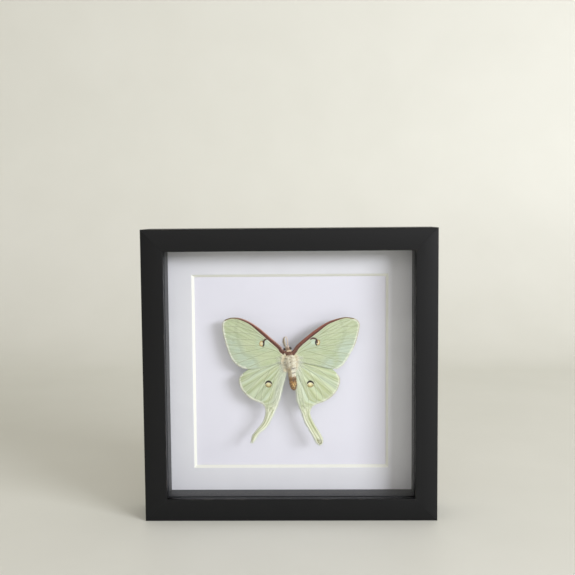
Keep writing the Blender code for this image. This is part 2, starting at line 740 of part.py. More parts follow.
def wing_outline(runs, root, step):
    """A closed outline in millimetres: smooth runs that meet at corners, closed by the root line."""
    chained = [[root[-1], *map(Vector, runs[0])], *runs[1:-1], [*map(Vector, runs[-1]), root[0]]]
    line = []
    for run in chained:
        line += curve_through(run, step)[:-1]
    return line + root[:-1]


def inside(point, outline):
    """Whether a point is inside a closed outline."""
    odd = False
    for a, b in zip(outline, outline[1:] + outline[:1]):
        if (a.y > point.y) != (b.y > point.y):
            if point.x < a.x + (point.y - a.y) / (b.y - a.y) * (b.x - a.x):
                odd = not odd
    return odd


def distance_to(point, line):
    """The distance from a point to a line of points."""
    best = 1e9
    for a, b in zip(line, line[1:]):
        along = b - a
        share = min(max((point - a).dot(along) / max(along.length_squared, 1e-12), 0), 1)
        best = min(best, (point - a - along * share).length)
    return best


def well_inside(line, outline, margin):
    """The points of a line that are inside the outline and this far from it."""
    edge = outline + outline[:1]
    return [point for point in line if inside(point, outline) and distance_to(point, edge) > margin]


def end_on_outline(start, end, outline):
    """The outline's corner nearest to where a line leaves it, which is moved onto that place."""
    for index, (a, b) in enumerate(zip(outline, outline[1:] + outline[:1])):
        place = intersect_line_line_2d(start, end, a, b)
        if place:
            nearest = index if (place - a).length < (place - b).length else (index + 1) % len(outline)
            outline[nearest] = place
            return [place]
    return []


def vein_line(points, outline):
    """A vein's smooth line from near the root to the wing's edge, or as far as it goes inside it."""
    line = curve_through(points, VEIN_STEP)
    kept = well_inside(line, outline, VEIN_EDGE_GAP)
    return kept + end_on_outline(kept[-1], line[-1], outline)


def ridge(point, ridges):
    """How far the veins raise the wing's surface at a point, in millimetres."""
    height = 0
    for line, half_width, tall in ridges:
        near = distance_to(point, line)
        if near < half_width:
            height = max(height, tall * (1 - near / half_width))
    return height


def too_near(point, others, limit):
    return any((point - other).length < limit for other in others)


def link_ridges(ridges, outline):
    """The points of the outline and of the ridges, and the pairs of them that the mesh has to join."""
    points = list(outline)
    links = []
    for line, _, _ in ridges:
        last = None
        for point in line:
            here = min(range(len(points)), key=lambda index: (point - points[index]).length)
            if (point - points[here]).length > SAME_POINT:
                here = len(points)
                points.append(point)
            if last not in (None, here):
                links.append((last, here))
            last = here
    return points, links


def add_beside_ridges(points, ridges, outline):
    """Adds the points where the slopes of the ridges end, one on each side of every point of a ridge."""
    edge = outline + outline[:1]
    for line, half_width, _ in ridges:
        for before, point, after in zip(line, line[1:], line[2:]):
            across = (after - before).normalized().orthogonal() * half_width
            for spot in (point + across, point - across):
                clear = inside(spot, outline) and distance_to(spot, edge) > BESIDE_EDGE_GAP
                on_ridge = ridge(spot, [(other, BESIDE_SHARE * wide, 1) for other, wide, _ in ridges])
                if clear and not on_ridge and not too_near(spot, points, BESIDE_APART):
                    points.append(spot)


def add_fill(points, outline):
    """Adds points between the veins, in rows that are shifted by half a step in turn."""
    edge = outline + outline[:1]
    low = Vector((min(point.x for point in outline), min(point.y for point in outline)))
    high = Vector((max(point.x for point in outline), max(point.y for point in outline)))
    rows = int((high.y - low.y) / FILL_STEP) + 1
    columns = int((high.x - low.x) / FILL_STEP) + 1
    for row in range(rows):
        for column in range(columns):
            spot = low + Vector((column + 0.5 * (row % 2), row)) * FILL_STEP
            clear = inside(spot, outline) and distance_to(spot, edge) > FILL_EDGE_GAP
            if clear and not too_near(spot, points, FILL_APART):
                points.append(spot)


def make_wing(name, side, runs, root_ends, layer, veins, with_costa):
    """A wing as a thin sheet: its outline and veins are joined into triangles, raised and given a wall."""
    root = root_line(root_ends, layer, side)
    outline = [clear_of_body(point, layer, side) for point in wing_outline(runs, root, OUTLINE_STEP)]
    ridges = [(vein_line(points, outline), VEIN_HALF_WIDTH, VEIN_HEIGHT) for points in veins]
    if with_costa:
        front = inset(curve_through([root[-1], *map(Vector, runs[0])], OUTLINE_STEP), COSTA_HALF_WIDTH)
        ridges.append((well_inside(front, outline, COSTA_EDGE_GAP), COSTA_HALF_WIDTH, COSTA_HEIGHT))
    points, links = link_ridges(ridges, outline)
    add_beside_ridges(points, ridges, outline)
    add_fill(points, outline)
    flat, _, faces, *_ = delaunay_2d_cdt(points, links, [list(range(len(outline)))], 1, 0.01)
    lifted = []
    for point in flat:
        rise = wing_rise(point.x, point.y, side) + layer + ridge(point, ridges)
        lifted.append(moth_point(side * point.x, point.y, rise))
    mesh = bpy.data.meshes.new(name)
    mesh.from_pydata(lifted, [], faces)
    bm = bmesh.new()
    bm.from_mesh(mesh)
    wing = add(name, mesh_from(bm, name), "green_wing")
    wall = wing.modifiers.new("thickness", "SOLIDIFY")
    wall.thickness = WING_THICK
    wall.offset = 0
    wing.data.shade_smooth()


def inset(line, distance):
    """A line moved to its right-hand side."""
    moved = []
    for index, point in enumerate(line):
        before = line[max(index - 1, 0)]
        after = line[min(index + 1, len(line) - 1)]
        along = (after - before).normalized()
        moved.append(point + Vector((along.y, -along.x)) * distance)
    return moved


def stretched(points, wide, tall):
    return [(x * wide, z * tall) for x, z in points]


def tail_veins(side):
    """The hindwing's veins, swung a little towards this side's tail, and the last one led on down it."""
    top, bottom = TAIL_SWING_ENDS
    swung = []
    for line in HINDWING_VEINS:
        swing = [line[0]]
        for x, z in line[1:]:
            share = min(max((top - z) / (top - bottom), 0), 1)
            swing.append((x + TAIL_SWING[side] * share, z))
        swung.append(swing)
    swung[-1] = swung[-1][:-1] + list(TAIL_VEINS[side])
    return swung


def make_wings():
    for side, word in ((-1, "left"), (1, "right")):
        size = (1, 1) if side < 0 else (RIGHT_VEINS_WIDER, RIGHT_VEINS_LOWER)
        fore = [stretched(line, *size) for line in FOREWING_VEINS]
        hind = tail_veins(side)
        make_wing(f"forewing_{word}", side, FOREWING[side], FOREWING_ROOT, WING_STEP, fore, True)
        make_wing(f"hindwing_{word}", side, HINDWING[side], HINDWING_ROOT, -WING_STEP, hind, False)


make_rails()
behind_panel = make_sheets()
make_tabs(behind_panel)
make_hanger(behind_panel)
body = body_empty()
body_part("collar", COLLAR_ENDS, COLLAR_STEP, "maroon_fur", body)
body_part("abdomen", ABDOMEN_ENDS, ABDOMEN_STEP, "golden_fur", body, grooved=True)
make_pin(body_part("thorax", THORAX_ENDS, THORAX_STEP, "cream_fur", body))
make_head(body)
make_feeler("left", LEFT_FEELER)
make_feeler("right", RIGHT_FEELER)
make_legs(body)
make_wings()
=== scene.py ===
# %% [markdown]
# # A luna moth in a shadow-box frame
#
# The solids of this model are already packed: a square black frame with glass, a bevelled mat and a white
# board, and a moth pinned on it. This script dresses them. Each step below looks at one piece or finish:
# what it is on the real thing, how it could be made, and why it is made this way. All sizes are in
# millimetres until they become points of a mesh, because a moth is easier to think of in millimetres.

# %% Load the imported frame
import math

import bmesh
import bpy
import numpy as np
from mathutils import Matrix, Vector
from mathutils.geometry import delaunay_2d_cdt


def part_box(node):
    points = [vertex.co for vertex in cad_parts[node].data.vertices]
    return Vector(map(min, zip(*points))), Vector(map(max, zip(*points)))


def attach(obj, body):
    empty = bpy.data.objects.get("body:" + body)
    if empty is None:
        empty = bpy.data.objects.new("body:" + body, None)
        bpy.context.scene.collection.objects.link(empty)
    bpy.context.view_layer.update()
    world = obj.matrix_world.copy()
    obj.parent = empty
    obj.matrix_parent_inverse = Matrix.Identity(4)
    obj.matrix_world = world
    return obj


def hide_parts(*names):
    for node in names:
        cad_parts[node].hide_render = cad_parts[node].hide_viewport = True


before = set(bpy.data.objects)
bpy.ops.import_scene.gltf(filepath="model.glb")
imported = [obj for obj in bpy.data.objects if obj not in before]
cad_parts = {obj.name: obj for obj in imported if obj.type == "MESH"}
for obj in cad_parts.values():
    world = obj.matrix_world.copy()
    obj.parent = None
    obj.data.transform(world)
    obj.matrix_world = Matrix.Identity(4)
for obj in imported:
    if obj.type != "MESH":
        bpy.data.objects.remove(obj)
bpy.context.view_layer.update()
MM = 0.001

# %% [markdown]
# ## Camera
#
# The photograph looks at the frame almost straight on, from a little above its middle. A camera could be
# turned by hand until the corners agree, but here its turn and place were worked out from the corners of
# the frame, its window and its mat. Such a fit gives the focal length in pixels of the square picture.

# %% Set the camera
PHOTO_PIXELS = 575
FOCAL_PIXELS = 908.7
SENSOR = 36.0
CAMERA_PLACE = (12.2, -721.7, 240.8)
CAMERA_TURN = (4.6, -0.42, -1.09)


def aim_camera():
    """A camera whose axes are the rows of the turn that the fit gave: right, forward and up."""
    turn = Vector([math.radians(angle) for angle in CAMERA_TURN])
    right, forward, up = Matrix.Rotation(turn.length, 3, turn.normalized())
    lens = bpy.data.cameras.new("camera")
    lens.sensor_width = SENSOR
    lens.lens = SENSOR * FOCAL_PIXELS / PHOTO_PIXELS
    lens.clip_start = 0.01
    camera = bpy.data.objects.new("camera", lens)
    axes = Matrix((right, up, -forward)).transposed().to_4x4()
    camera.matrix_world = Matrix.Translation(Vector(CAMERA_PLACE) * MM) @ axes
    bpy.context.scene.collection.objects.link(camera)
    bpy.context.scene.camera = camera
    return camera


camera = aim_camera()
print("lens", round(camera.data.lens, 1), "mm")

# %% [markdown]
# ## Light
#
# The case is lit by soft daylight from the upper right. It leaves the right strip of the mat in the shade
# of the frame, and throws the moth's shadows to the left. A window does that in the picture, and a wide
# lamp stands for it here, because a small one would give hard edges. It is two lamps at one place, for a
# reason that comes at the end. A weak lamp and a pale world stand for the room. The colours are shown as
# they are, with no film look.

# %% Set the lamps and the world
WORLD_COLOUR = (1.0, 0.94, 0.87, 1)
WORLD_STRENGTH = 0.49
AIM = (0, 0, 0.12)
WINDOW = ((1.57, -1.49, 0.71), AIM, (1.05, 0.58))
WINDOW_POWER, THROUGH_POWER = 35.5, 8.0
DAYLIGHT = (0.99, 0.99, 1.05)
ROOM = ((0.1, -1.6, 0.9), AIM, (1.4, 0.8), 4.6, (1.0, 0.97, 0.94))
FUR_LAMP = ((0.9, -1.5, 0.85), AIM, (0.9, 0.6), 19.0, (1.0, 0.84, 0.56))


def add_lamp(name, place, target, size, power, colour):
    """A rectangular area lamp at a place in metres, aimed at a target."""
    data = bpy.data.lights.new(name, "AREA")
    data.shape = "RECTANGLE"
    data.size, data.size_y = size
    data.energy = power
    data.color = colour
    lamp = bpy.data.objects.new(name, data)
    lamp.location = place
    lamp.rotation_euler = (Vector(target) - Vector(place)).to_track_quat("-Z", "Y").to_euler()
    bpy.context.scene.collection.objects.link(lamp)
    return lamp


add_lamp("window", *WINDOW, WINDOW_POWER, DAYLIGHT)
window_through = add_lamp("window_through", *WINDOW, THROUGH_POWER, DAYLIGHT)
add_lamp("room", *ROOM)
fur_light = add_lamp("fur_light", *FUR_LAMP)
world = bpy.data.worlds.new("pale_world")
world.use_nodes = True
world.node_tree.nodes["Background"].inputs["Color"].default_value = WORLD_COLOUR
world.node_tree.nodes["Background"].inputs["Strength"].default_value = WORLD_STRENGTH
bpy.context.scene.world = world
bpy.context.scene.view_settings.view_transform = "Standard"
print(len(bpy.data.lights), "lamps")

# %% [markdown]
# ## A short way to write node trees
#
# Shaders and Geometry Nodes are trees of small nodes, and wiring each by hand hides the idea. Here a
# `Value` stands for a node's output, and a plus, minus or times between two of them adds the Math node. It
# also has the smooth steps up and down that most marks are made of. A `Tree` adds any other node from its
# type, its settings and its inputs. Python still works out what is only numbers, so the tree keeps just
# what changes over the surface.

# %% Values and trees
class Value:
    """An output of a node. Sums of values add Math nodes to its tree."""

    def __init__(self, tree, socket):
        self.tree = tree
        self.socket = socket

    def __add__(self, other):
        return self.tree.math("ADD", self, other)

    def __sub__(self, other):
        return self.tree.math("SUBTRACT", self, other)

    def __rsub__(self, other):
        return self.tree.math("SUBTRACT", other, self)

    def __mul__(self, other):
        return self.tree.math("MULTIPLY", self, other)

    def __truediv__(self, other):
        return self.tree.math("DIVIDE", self, other)

    def __abs__(self):
        return self.tree.math("ABSOLUTE", self)

    __radd__ = __add__
    __rmul__ = __mul__

    def rising(self, low, high):
        """A smooth step that goes from 0 to 1 between two numbers."""
        inputs = {"Value": self, "From Min": low, "From Max": high}
        return self.tree.node("ShaderNodeMapRange", {"interpolation_type": "SMOOTHSTEP"}, inputs)

    def falling(self, low, high):
        return 1 - self.rising(low, high)

    def band(self, middle, half, soft):
        """1 within half of the middle, and 0 a soft edge further out."""
        return abs(self - middle).falling(half, half + soft)


class Tree:
    """Adds nodes to a node tree, each from its type, its settings and its inputs."""

    def __init__(self, node_tree):
        self.nodes = node_tree.nodes
        self.links = node_tree.links

    def link(self, value, socket):
        if isinstance(value, Value):
            self.links.new(value.socket, socket)
        else:
            socket.default_value = value

    def node(self, kind, settings=None, inputs=None, output=0):
        """A new node's output. The settings come first, then the inputs, by name or by number."""
        made = self.nodes.new(kind)
        for name, value in (settings or {}).items():
            setattr(made, name, value)
        for key, value in (inputs or {}).items():
            shown = [socket for socket in made.inputs if socket.enabled and key == socket.name]
            self.link(value, made.inputs[key] if isinstance(key, int) else shown[0])
        shown = [socket for socket in made.outputs if socket.enabled and output in (socket.name, 0)]
        return Value(self, shown[0])

    def math(self, operation, first, second=0.0):
        return self.node("ShaderNodeMath", {"operation": operation}, {0: first, 1: second})

    def most(self, *values):
        """The largest of some values."""
        largest = values[0]
        for value in values[1:]:
            largest = self.math("MAXIMUM", largest, value)
        return largest

    def vector(self, operation, first, second=None, output=0):
        inputs = {0: first} if second is None else {0: first, 1: second}
        return self.node("ShaderNodeVectorMath", {"operation": operation}, inputs, output)

    def scaled(self, vector, factor):
        inputs = {"Vector": vector, "Scale": factor}
        return self.node("ShaderNodeVectorMath", {"operation": "SCALE"}, inputs)

    def parts(self, vector):
        """The three numbers of a vector."""
        outputs = self.node("ShaderNodeSeparateXYZ", None, {"Vector": vector}).socket.node.outputs
        return [Value(self, socket) for socket in outputs]

    def joined(self, x, y, z=0.0):
        return self.node("ShaderNodeCombineXYZ", None, {"X": x, "Y": y, "Z": z})

    def mix(self, share, first, second):
        """A colour that goes from the first to the second as the share goes from 0 to 1."""
        inputs = {"Factor": share, "A": first, "B": second}
        return self.node("ShaderNodeMix", {"data_type": "RGBA"}, inputs, "Result")

    def noise(self, place, scale, detail=2.0, rough=0.5):
        inputs = {"Vector": place, "Scale": scale, "Detail": detail, "Roughness": rough}
        return self.node("ShaderNodeTexNoise", None, inputs)

    def attribute(self, name):
        """What the mesh keeps under a name, read in a shader."""
        return self.node("ShaderNodeAttribute", {"attribute_name": name}, None, "Fac")

    def kept(self, name, kind="FLOAT"):
        """What the mesh keeps under a name, read in Geometry Nodes."""
        inputs = {"Name": name}
        return self.node("GeometryNodeInputNamedAttribute", {"data_type": kind}, inputs, "Attribute")

    def random(self, low, high, seed, kind="FLOAT"):
        """A number, or a vector, of its own for each point."""
        inputs = {"Min": low, "Max": high, "Seed": seed}
        return self.node("FunctionNodeRandomValue", {"data_type": kind}, inputs, "Value")


print("node helpers ready")

# %% [markdown]
# ## Finishes
#
# A finish is one Principled shader. What is the same all over, such as the sheen of cloth, is set on the
# shader itself. What changes over the surface comes in by its colour, roughness and bump. Colours are given
# as they look on a screen, from 0 to 255, and turned into the linear numbers that a shader works with.

# %% Colours and materials
def colour(red, green, blue):
    """A screen colour, from 0 to 255, as the shader's linear one."""
    shares = [part / 255 for part in (red, green, blue)]
    linear = [part / 12.92 if part < 0.04045 else ((part + 0.055) / 1.055) ** 2.4 for part in shares]
    return (*linear, 1)


def over(base, *coats):
    """Colours laid over a base in turn, each given as its share and its screen colour."""
    for share, *shade in coats:
        base = share.tree.mix(share, base, colour(*shade))
    return base


def new_material(name):
    """A material with its tree and the object's own coordinates in millimetres."""
    material = bpy.data.materials.new(name)
    material.use_nodes = True
    tree = Tree(material.node_tree)
    place = tree.node("ShaderNodeTexCoord", None, None, "Object")
    return material, tree, tree.scaled(place, 1 / MM)


def finish(material, tree, base, roughness=0.5, relief=None, depth=0.05, **fixed):
    """Sets the shader: a colour, a roughness, a relief in millimetres, and what is the same all over."""
    shader = material.node_tree.nodes["Principled BSDF"]
    tree.link(base, shader.inputs["Base Color"])
    tree.link(roughness, shader.inputs["Roughness"])
    if relief is not None:
        inputs = {"Height": relief, "Distance": depth * MM, "Strength": 1.0}
        tree.link(tree.node("ShaderNodeBump", None, inputs), shader.inputs["Normal"])
    for name, value in fixed.items():
        shader.inputs[name.replace("_", " ")].default_value = value
    return material


def paint(mesh, material):
    mesh.materials.clear()
    mesh.materials.append(material)


def dress(node, material):
    """Gives a solid that stays as it is its finish."""
    paint(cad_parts[node].data, material)


pieces = []


def ready(obj, slot, *nodes):
    """Declares a finished piece: what it moves with, its slot and the solids that it stands for."""
    pieces.append((obj, slot))
    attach(obj, "root")
    if nodes:
        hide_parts(*nodes)
    return obj


def add_object(name, mesh, material=None):
    obj = bpy.data.objects.new(name, mesh)
    bpy.context.scene.collection.objects.link(obj)
    if material:
        paint(mesh, material)
    return obj


def applied(obj):
    """Puts the mesh that an object's modifiers make in the place of its own, and takes them off."""
    bpy.context.view_layer.update()
    mesh = bpy.data.meshes.new_from_object(obj.evaluated_get(bpy.context.evaluated_depsgraph_get()))
    obj.modifiers.clear()
    obj.data = mesh
    return mesh


print("finish helpers ready")

# %% [markdown]
# ## Floor
#
# The frame stands on a plain pale surface. A flat sheet that curves up into a wall behind it leaves no
# horizon line, and its soft colour shows the frame's outline without taking part in the picture.

# %% Make the floor and its sweep
FLOOR_FRONT, FLOOR_BEND, WALL_TOP = -1400, 650, 1500
BEND_RADIUS = 350
BEND_STEPS = 16
FLOOR_HALF = 1600
FLOOR_DROP = 0.05


def make_floor():
    """A sheet that runs back along the floor and curves up into a wall."""
    line = [(FLOOR_FRONT, -FLOOR_DROP)]
    for step in range(BEND_STEPS + 1):
        angle = math.pi / 2 * step / BEND_STEPS
        reach = BEND_RADIUS * math.sin(angle)
        line.append((FLOOR_BEND + reach, BEND_RADIUS * (1 - math.cos(angle)) - FLOOR_DROP))
    line.append((FLOOR_BEND + BEND_RADIUS, WALL_TOP))
    points = [(x * MM, y * MM, z * MM) for y, z in line for x in (-FLOOR_HALF, FLOOR_HALF)]
    faces = [(2 * row, 2 * row + 1, 2 * row + 3, 2 * row + 2) for row in range(len(line) - 1)]
    mesh = bpy.data.meshes.new("floor")
    mesh.from_pydata(points, [], faces)
    mesh.shade_smooth()
    material, tree, place = new_material("pale_floor")
    shade = tree.mix(tree.noise(place, 0.01, 3), colour(224, 225, 215), colour(231, 232, 223))
    finish(material, tree, shade, 0.55)
    sheet = add_object("floor", mesh, material)
    return sheet


floor = make_floor()
print("floor", [round(size, 2) for size in floor.dimensions])

# %% [markdown]
# ## Frame rails
#
# Four lengths of black lacquered wood, cut at 45 degrees and joined at the corners. The solids leave a gap
# at each corner so that they never touch, wider than a real joint. So each rail is made again from its
# section, pushed along its length, with a hairline joint and softly rounded edges. The lacquer is satin,
# with faint grain along each rail, and pale patches on its edges that are partly wear where hands rub them
# and partly a painted highlight on the rounded edges.

# %% Make the rails
SIDE, DEPTH = 230, 45
RAIL_FACE, RAIL_WALL, LIP = 17.4, 9, 5.5
JOINT = 0.03
RAIL_ROUND, ROUND_STEPS = 0.55, 4
GRAIN_STRETCH = 0.02
WEAR_AND_HIGHLIGHT_NEAR, WEAR_AND_HIGHLIGHT_FAR = 0.15, 0.9


def lacquer(name, along):
    """Black lacquered wood with its grain along X or Z."""
    material, tree, place = new_material(name)
    stretch = (GRAIN_STRETCH, 1, 1) if along == "X" else (1, 1, GRAIN_STRETCH)
    grain = tree.noise(tree.vector("MULTIPLY", place, stretch), 1.6, 4, 0.6)
    x, y, z = tree.parts(place)
    outer = tree.most(abs(x), abs(z - SIDE / 2))
    from_side = tree.math("MINIMUM", SIDE / 2 - outer, abs(outer - SIDE / 2 + RAIL_FACE))
    edge = tree.most(from_side, y + DEPTH / 2).falling(WEAR_AND_HIGHLIGHT_NEAR, WEAR_AND_HIGHLIGHT_FAR)
    # Pale patches on the edges: partly wear, partly a painted highlight on the rounded edges.
    worn = edge * tree.noise(place, 0.12, 5, 0.7).rising(0.52, 0.66)
    base = over(tree.mix(grain, colour(13, 14, 15), colour(20, 21, 22)), (worn * 0.5, 70, 67, 62))
    rough = 0.36 + grain * 0.12 + tree.noise(place, 0.05, 3) * 0.1
    return finish(material, tree, base, rough, grain, 0.02, Specular_IOR_Level=0.2)


def rail_mesh(quarter):
    """A rail's section pushed along its length, with mitred ends, turned to its side of the frame."""
    half, front = SIDE / 2, -DEPTH / 2
    window, wall, lip = half - RAIL_FACE, half - RAIL_WALL, front + LIP
    section = ((window, front), (half, front), (half, -front), (wall, -front), (wall, lip), (window, lip))
    bm = bmesh.new()
    face = bm.faces.new([bm.verts.new((out - JOINT, y, -out)) for out, y in section])
    pushed = bmesh.ops.extrude_face_region(bm, geom=[face])["geom"]
    for vert in pushed:
        if isinstance(vert, bmesh.types.BMVert):
            vert.co.x = -vert.co.x
    long_edges = [edge for edge in bm.edges if abs(edge.verts[0].co.x + edge.verts[1].co.x) < JOINT]
    bmesh.ops.bevel(bm, geom=long_edges, offset=RAIL_ROUND, segments=ROUND_STEPS, profile=0.5,
                    affect="EDGES")
    bmesh.ops.recalc_face_normals(bm, faces=bm.faces)
    turn = Matrix.Rotation(math.radians(90) * quarter, 4, "Y")
    place = Matrix.Scale(MM, 4) @ Matrix.Translation((0, 0, half)) @ turn
    bmesh.ops.transform(bm, matrix=place, verts=bm.verts)
    mesh = bpy.data.meshes.new("rail")
    bm.to_mesh(mesh)
    bm.free()
    mesh.shade_smooth()
    mesh.set_sharp_from_angle(angle=math.radians(50))
    return mesh


level_lacquer = lacquer("lacquer_level", "X")
upright_lacquer = lacquer("lacquer_upright", "Z")
for quarter, word in enumerate(("bottom", "left", "top", "right")):
    finish_here = upright_lacquer if quarter % 2 else level_lacquer
    rail = add_object(f"wooden_rail_{word}", rail_mesh(quarter), finish_here)
    ready(rail, "black_wood", f"rail_{word}")
    print(rail.name, len(rail.data.polygons), "faces")

# %% [markdown]
# ## Glass, spacer, mat and board
#
# The pane is thin and flat, so light should pass straight through it and a little be mirrored at a slant.
# A shader of true glass would also bend the lamp's rays and leave the case dark. A see-through shader mixed
# with a mirror by the angle of view gives the same look and lets the light in. The mat is pulp board: grey
# white paper on its face, and a cream core on the cut bevel. The board behind is smooth paper.

# %% Finish the glass and the boards
MAT_FACE_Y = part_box("mat_board")[0].y / MM
GLASS_BEND = 1.45
GLASS_CLEAR, GLASS_MIRROR, GLASS_ROUGH = (0.975, 0.985, 0.98, 1), (0.45, 0.46, 0.46, 1), 0.03
CORE_START, CORE_FULL = 0.05, 0.25


def pane_glass():
    """See-through, and a mirror at a slant. The pane's back face bends the other way."""
    material, tree, _ = new_material("pane_glass")
    clear = tree.node("ShaderNodeBsdfTransparent", None, {"Color": GLASS_CLEAR})
    mirror = tree.node("ShaderNodeBsdfGlossy", None, {"Roughness": GLASS_ROUGH, "Color": GLASS_MIRROR})
    behind = tree.node("ShaderNodeNewGeometry", None, None, "Backfacing")
    bend = GLASS_BEND - (GLASS_BEND - 1 / GLASS_BEND) * behind
    share = tree.node("ShaderNodeFresnel", None, {"IOR": bend})
    mixed = tree.node("ShaderNodeMixShader", None, {0: share, 1: clear, 2: mirror})
    tree.link(mixed, material.node_tree.nodes["Material Output"].inputs["Surface"])
    return material


def mat_paper():
    """Fine tooth on the face, and the cream core where the board is cut."""
    material, tree, place = new_material("mat_paper")
    tooth = tree.noise(place, 9, 3, 0.6)
    y = tree.parts(place)[1]
    core = y.rising(MAT_FACE_Y + CORE_START, MAT_FACE_Y + CORE_FULL)
    face = tree.mix(tree.noise(place, 0.05, 2), colour(229, 227, 234), colour(235, 233, 240))
    return finish(material, tree, over(face, (core, 242, 240, 232)), 0.88, tooth, 0.03)


def board_paper():
    material, tree, place = new_material("board_paper")
    tooth = tree.noise(place, 14, 3, 0.6)
    base = tree.mix(tree.noise(place, 0.04, 3), colour(231, 228, 240), colour(236, 233, 245))
    return finish(material, tree, base, 0.8, tooth, 0.02)


def black_card():
    material, tree, place = new_material("black_card")
    fibre = tree.noise(tree.vector("MULTIPLY", place, (1, 0.2, 1)), 5, 4, 0.6)
    base = tree.mix(fibre, colour(30, 30, 32), colour(42, 42, 45))
    return finish(material, tree, base, 0.42 + fibre * 0.15, fibre, 0.03)


dress("glass_pane", pane_glass())
dress("mat_board", mat_paper())
dress("backing_board", board_paper())
dress("spacer_ring", black_card())
print("mat face at", round(MAT_FACE_Y, 1), "mm")

# %% [markdown]
# ## Outlines and veins of the wings
#
# A luna moth's wings are thin, nearly flat sheets, so their outline carries most of their look. It was
# measured off the picture as points out from the middle of the collar and up from it. A smooth line goes
# through each run of points, and a new run starts where the real edge has a corner. The veins are lines
# from the root to past the edge, given for the left wing and stretched a little for the right one.

# %% Wing outlines and veins in millimetres
FOREWING = {
    -1: (
        ((4.85, 2.9), (5.9, 4.9), (8.6, 7.6), (14.2, 12.5), (22.7, 19.8), (31.25, 25.3), (39, 28.1),
         (46, 28.2), (50.7, 26.6)),
        ((50.7, 26.6), (52.7, 23.9), (53, 20), (51.6, 12), (49.5, 4.4), (47.4, -1.7), (43.8, -7.6),
         (38.8, -11.2), (35, -12.5)),
        ((35, -12.5), (28.4, -12.4), (21.3, -11.2), (12.5, -8.7)),
    ),
    1: (
        ((4, 3.4), (5, 5.2), (7.6, 8), (11.6, 11.5), (20, 18.1), (28.8, 23.7), (36.8, 26.8),
         (44.9, 28.2), (51.3, 27.3)),
        ((51.3, 27.3), (54.9, 24.8), (56, 21), (54.6, 13.5), (52, 5.3), (47.8, -2.2), (43.2, -9.1),
         (39, -12.5), (36.7, -13.2)),
        ((36.7, -13.2), (28.7, -11.8), (20.7, -9.6), (13.2, -7.9)),
    ),
}
FOREWING_ROOT = (1, -5.2)
HINDWING = {
    -1: (
        ((12, -3.4), (20, -4.6), (27, -8.2), (33.5, -13.6), (38.4, -17.6)),
        ((38.4, -17.6), (40, -20.5), (40.1, -24), (38.7, -27.9), (35.2, -33.1), (30, -37.2),
         (24.6, -39.3), (21.6, -40.8)),
        ((21.6, -40.8), (19.8, -43.3), (19.2, -47.5), (21.2, -54.8), (26.2, -61.2), (29.7, -65.6),
         (30.6, -69), (31.3, -71.5)),
        ((31.3, -71.5), (28.9, -70.8), (26.8, -67.6), (24.3, -64), (18.9, -59.6), (14.7, -52.8),
         (10.6, -44), (7.4, -35.2), (5.4, -27), (3.9, -21.4)),
    ),
    1: (
        ((12, -3.4), (20, -4.6), (28, -8.4), (34.6, -13.4), (38.6, -17.9)),
        ((38.6, -17.9), (40.1, -21), (40, -24.6), (38, -30), (33.6, -35.2), (28, -38.8), (20.5, -41.5),
         (18.3, -43)),
        ((18.3, -43), (16.7, -46), (16.5, -50), (19.5, -56.9), (23.7, -63.8), (26.1, -68.3),
         (26.5, -71.6), (25.1, -74.1)),
        ((25.1, -74.1), (21.8, -72.8), (19.2, -68.1), (15, -60.5), (12, -55), (10, -48.8), (7.6, -42),
         (6, -36)),
    ),
}
HINDWING_ROOT = (-3.4, -11)
FOREWING_VEINS = (
    ((5.5, -1.6), (11.2, 2.4), (19.5, 4.6), (24.2, 6.2), (38.3, 6.3), (52, 6.6)),
    ((8.6, 3), (14.4, 7.4), (19.8, 11.2), (27.1, 14.6), (40, 16.6), (54, 16.4)),
    ((19.8, 11.2), (24.1, 10.7), (40.8, 11.2), (53, 11.2)),
    ((14.4, 7.4), (23, 15), (31.1, 18.4), (41, 21.2), (55, 21.6)),
    ((23, 15), (31, 20.6), (39, 24.4), (46, 26.2)),
    ((19.5, 4.6), (27.2, 2.8), (37.9, 0.2), (49, -2.2)),
    ((11.2, 2.4), (19.2, 0.2), (34.4, -5.5), (46, -10)),
    ((5.8, -3.4), (11.2, -3.8), (18.3, -4.9), (29.4, -10), (36, -12.6)),
)
HINDWING_VEINS = (
    ((6.5, -6.5), (14.3, -10.3), (23.4, -13.6), (33, -20.7), (41.5, -25)),
    ((8.5, -9.5), (15.3, -13.4), (22.4, -19), (31, -28.5), (36.5, -34)),
    ((15.3, -13.4), (19.4, -21.3), (24.6, -30.2), (28.6, -39.6)),
    ((19.4, -21.3), (20.4, -26.5), (22, -33), (22.6, -41.5)),
    ((7, -10.5), (11.6, -20), (14.2, -30), (16.6, -40), (17.4, -48)),
    ((5.8, -12), (8.6, -20.4), (10.3, -30.6), (12.4, -40), (15, -47)),
)
TAIL_VEINS = {
    -1: ((15, -47), (18.2, -54), (22.6, -60.6), (27.4, -65.6), (29.6, -69.4)),
    1: ((13, -47), (14.9, -54), (18, -61), (21.6, -67.4), (24, -71.6)),
}
TAIL_SWING, SWING_START, SWING_REACH = {-1: 0, 1: -2.0}, -30, 17
RIGHT_VEINS = (1.05, 0.97)
SIDE_WORDS = {-1: "left", 1: "right"}


def curve_through(points, step):
    """Points about a step apart on a smooth line through the given ones, both ends included."""
    points = np.array(points, float)
    ends = np.vstack([2 * points[0] - points[1], points, 2 * points[-1] - points[-2]])
    line = []
    for before, here, there, after in zip(ends, ends[1:], ends[2:], ends[3:]):
        count = max(1, round(np.linalg.norm(there - here) / step))
        for index in range(count):
            t = index / count
            line.append(0.5 * (2 * here + (there - before) * t
                               + (2 * before - 5 * here + 4 * there - after) * t * t
                               + (3 * here - before - 3 * there + after) * t ** 3))
    return np.array([*line, points[-1]])


def distances(points, line):
    """How far each point is from a line of points."""
    best = np.full(len(points), 1e9)
    for start, end in zip(line, line[1:]):
        along = end - start
        share = np.clip((points - start) @ along / max(along @ along, 1e-12), 0, 1)
        best = np.minimum(best, np.linalg.norm(points - start - share[:, None] * along, axis=1))
    return best


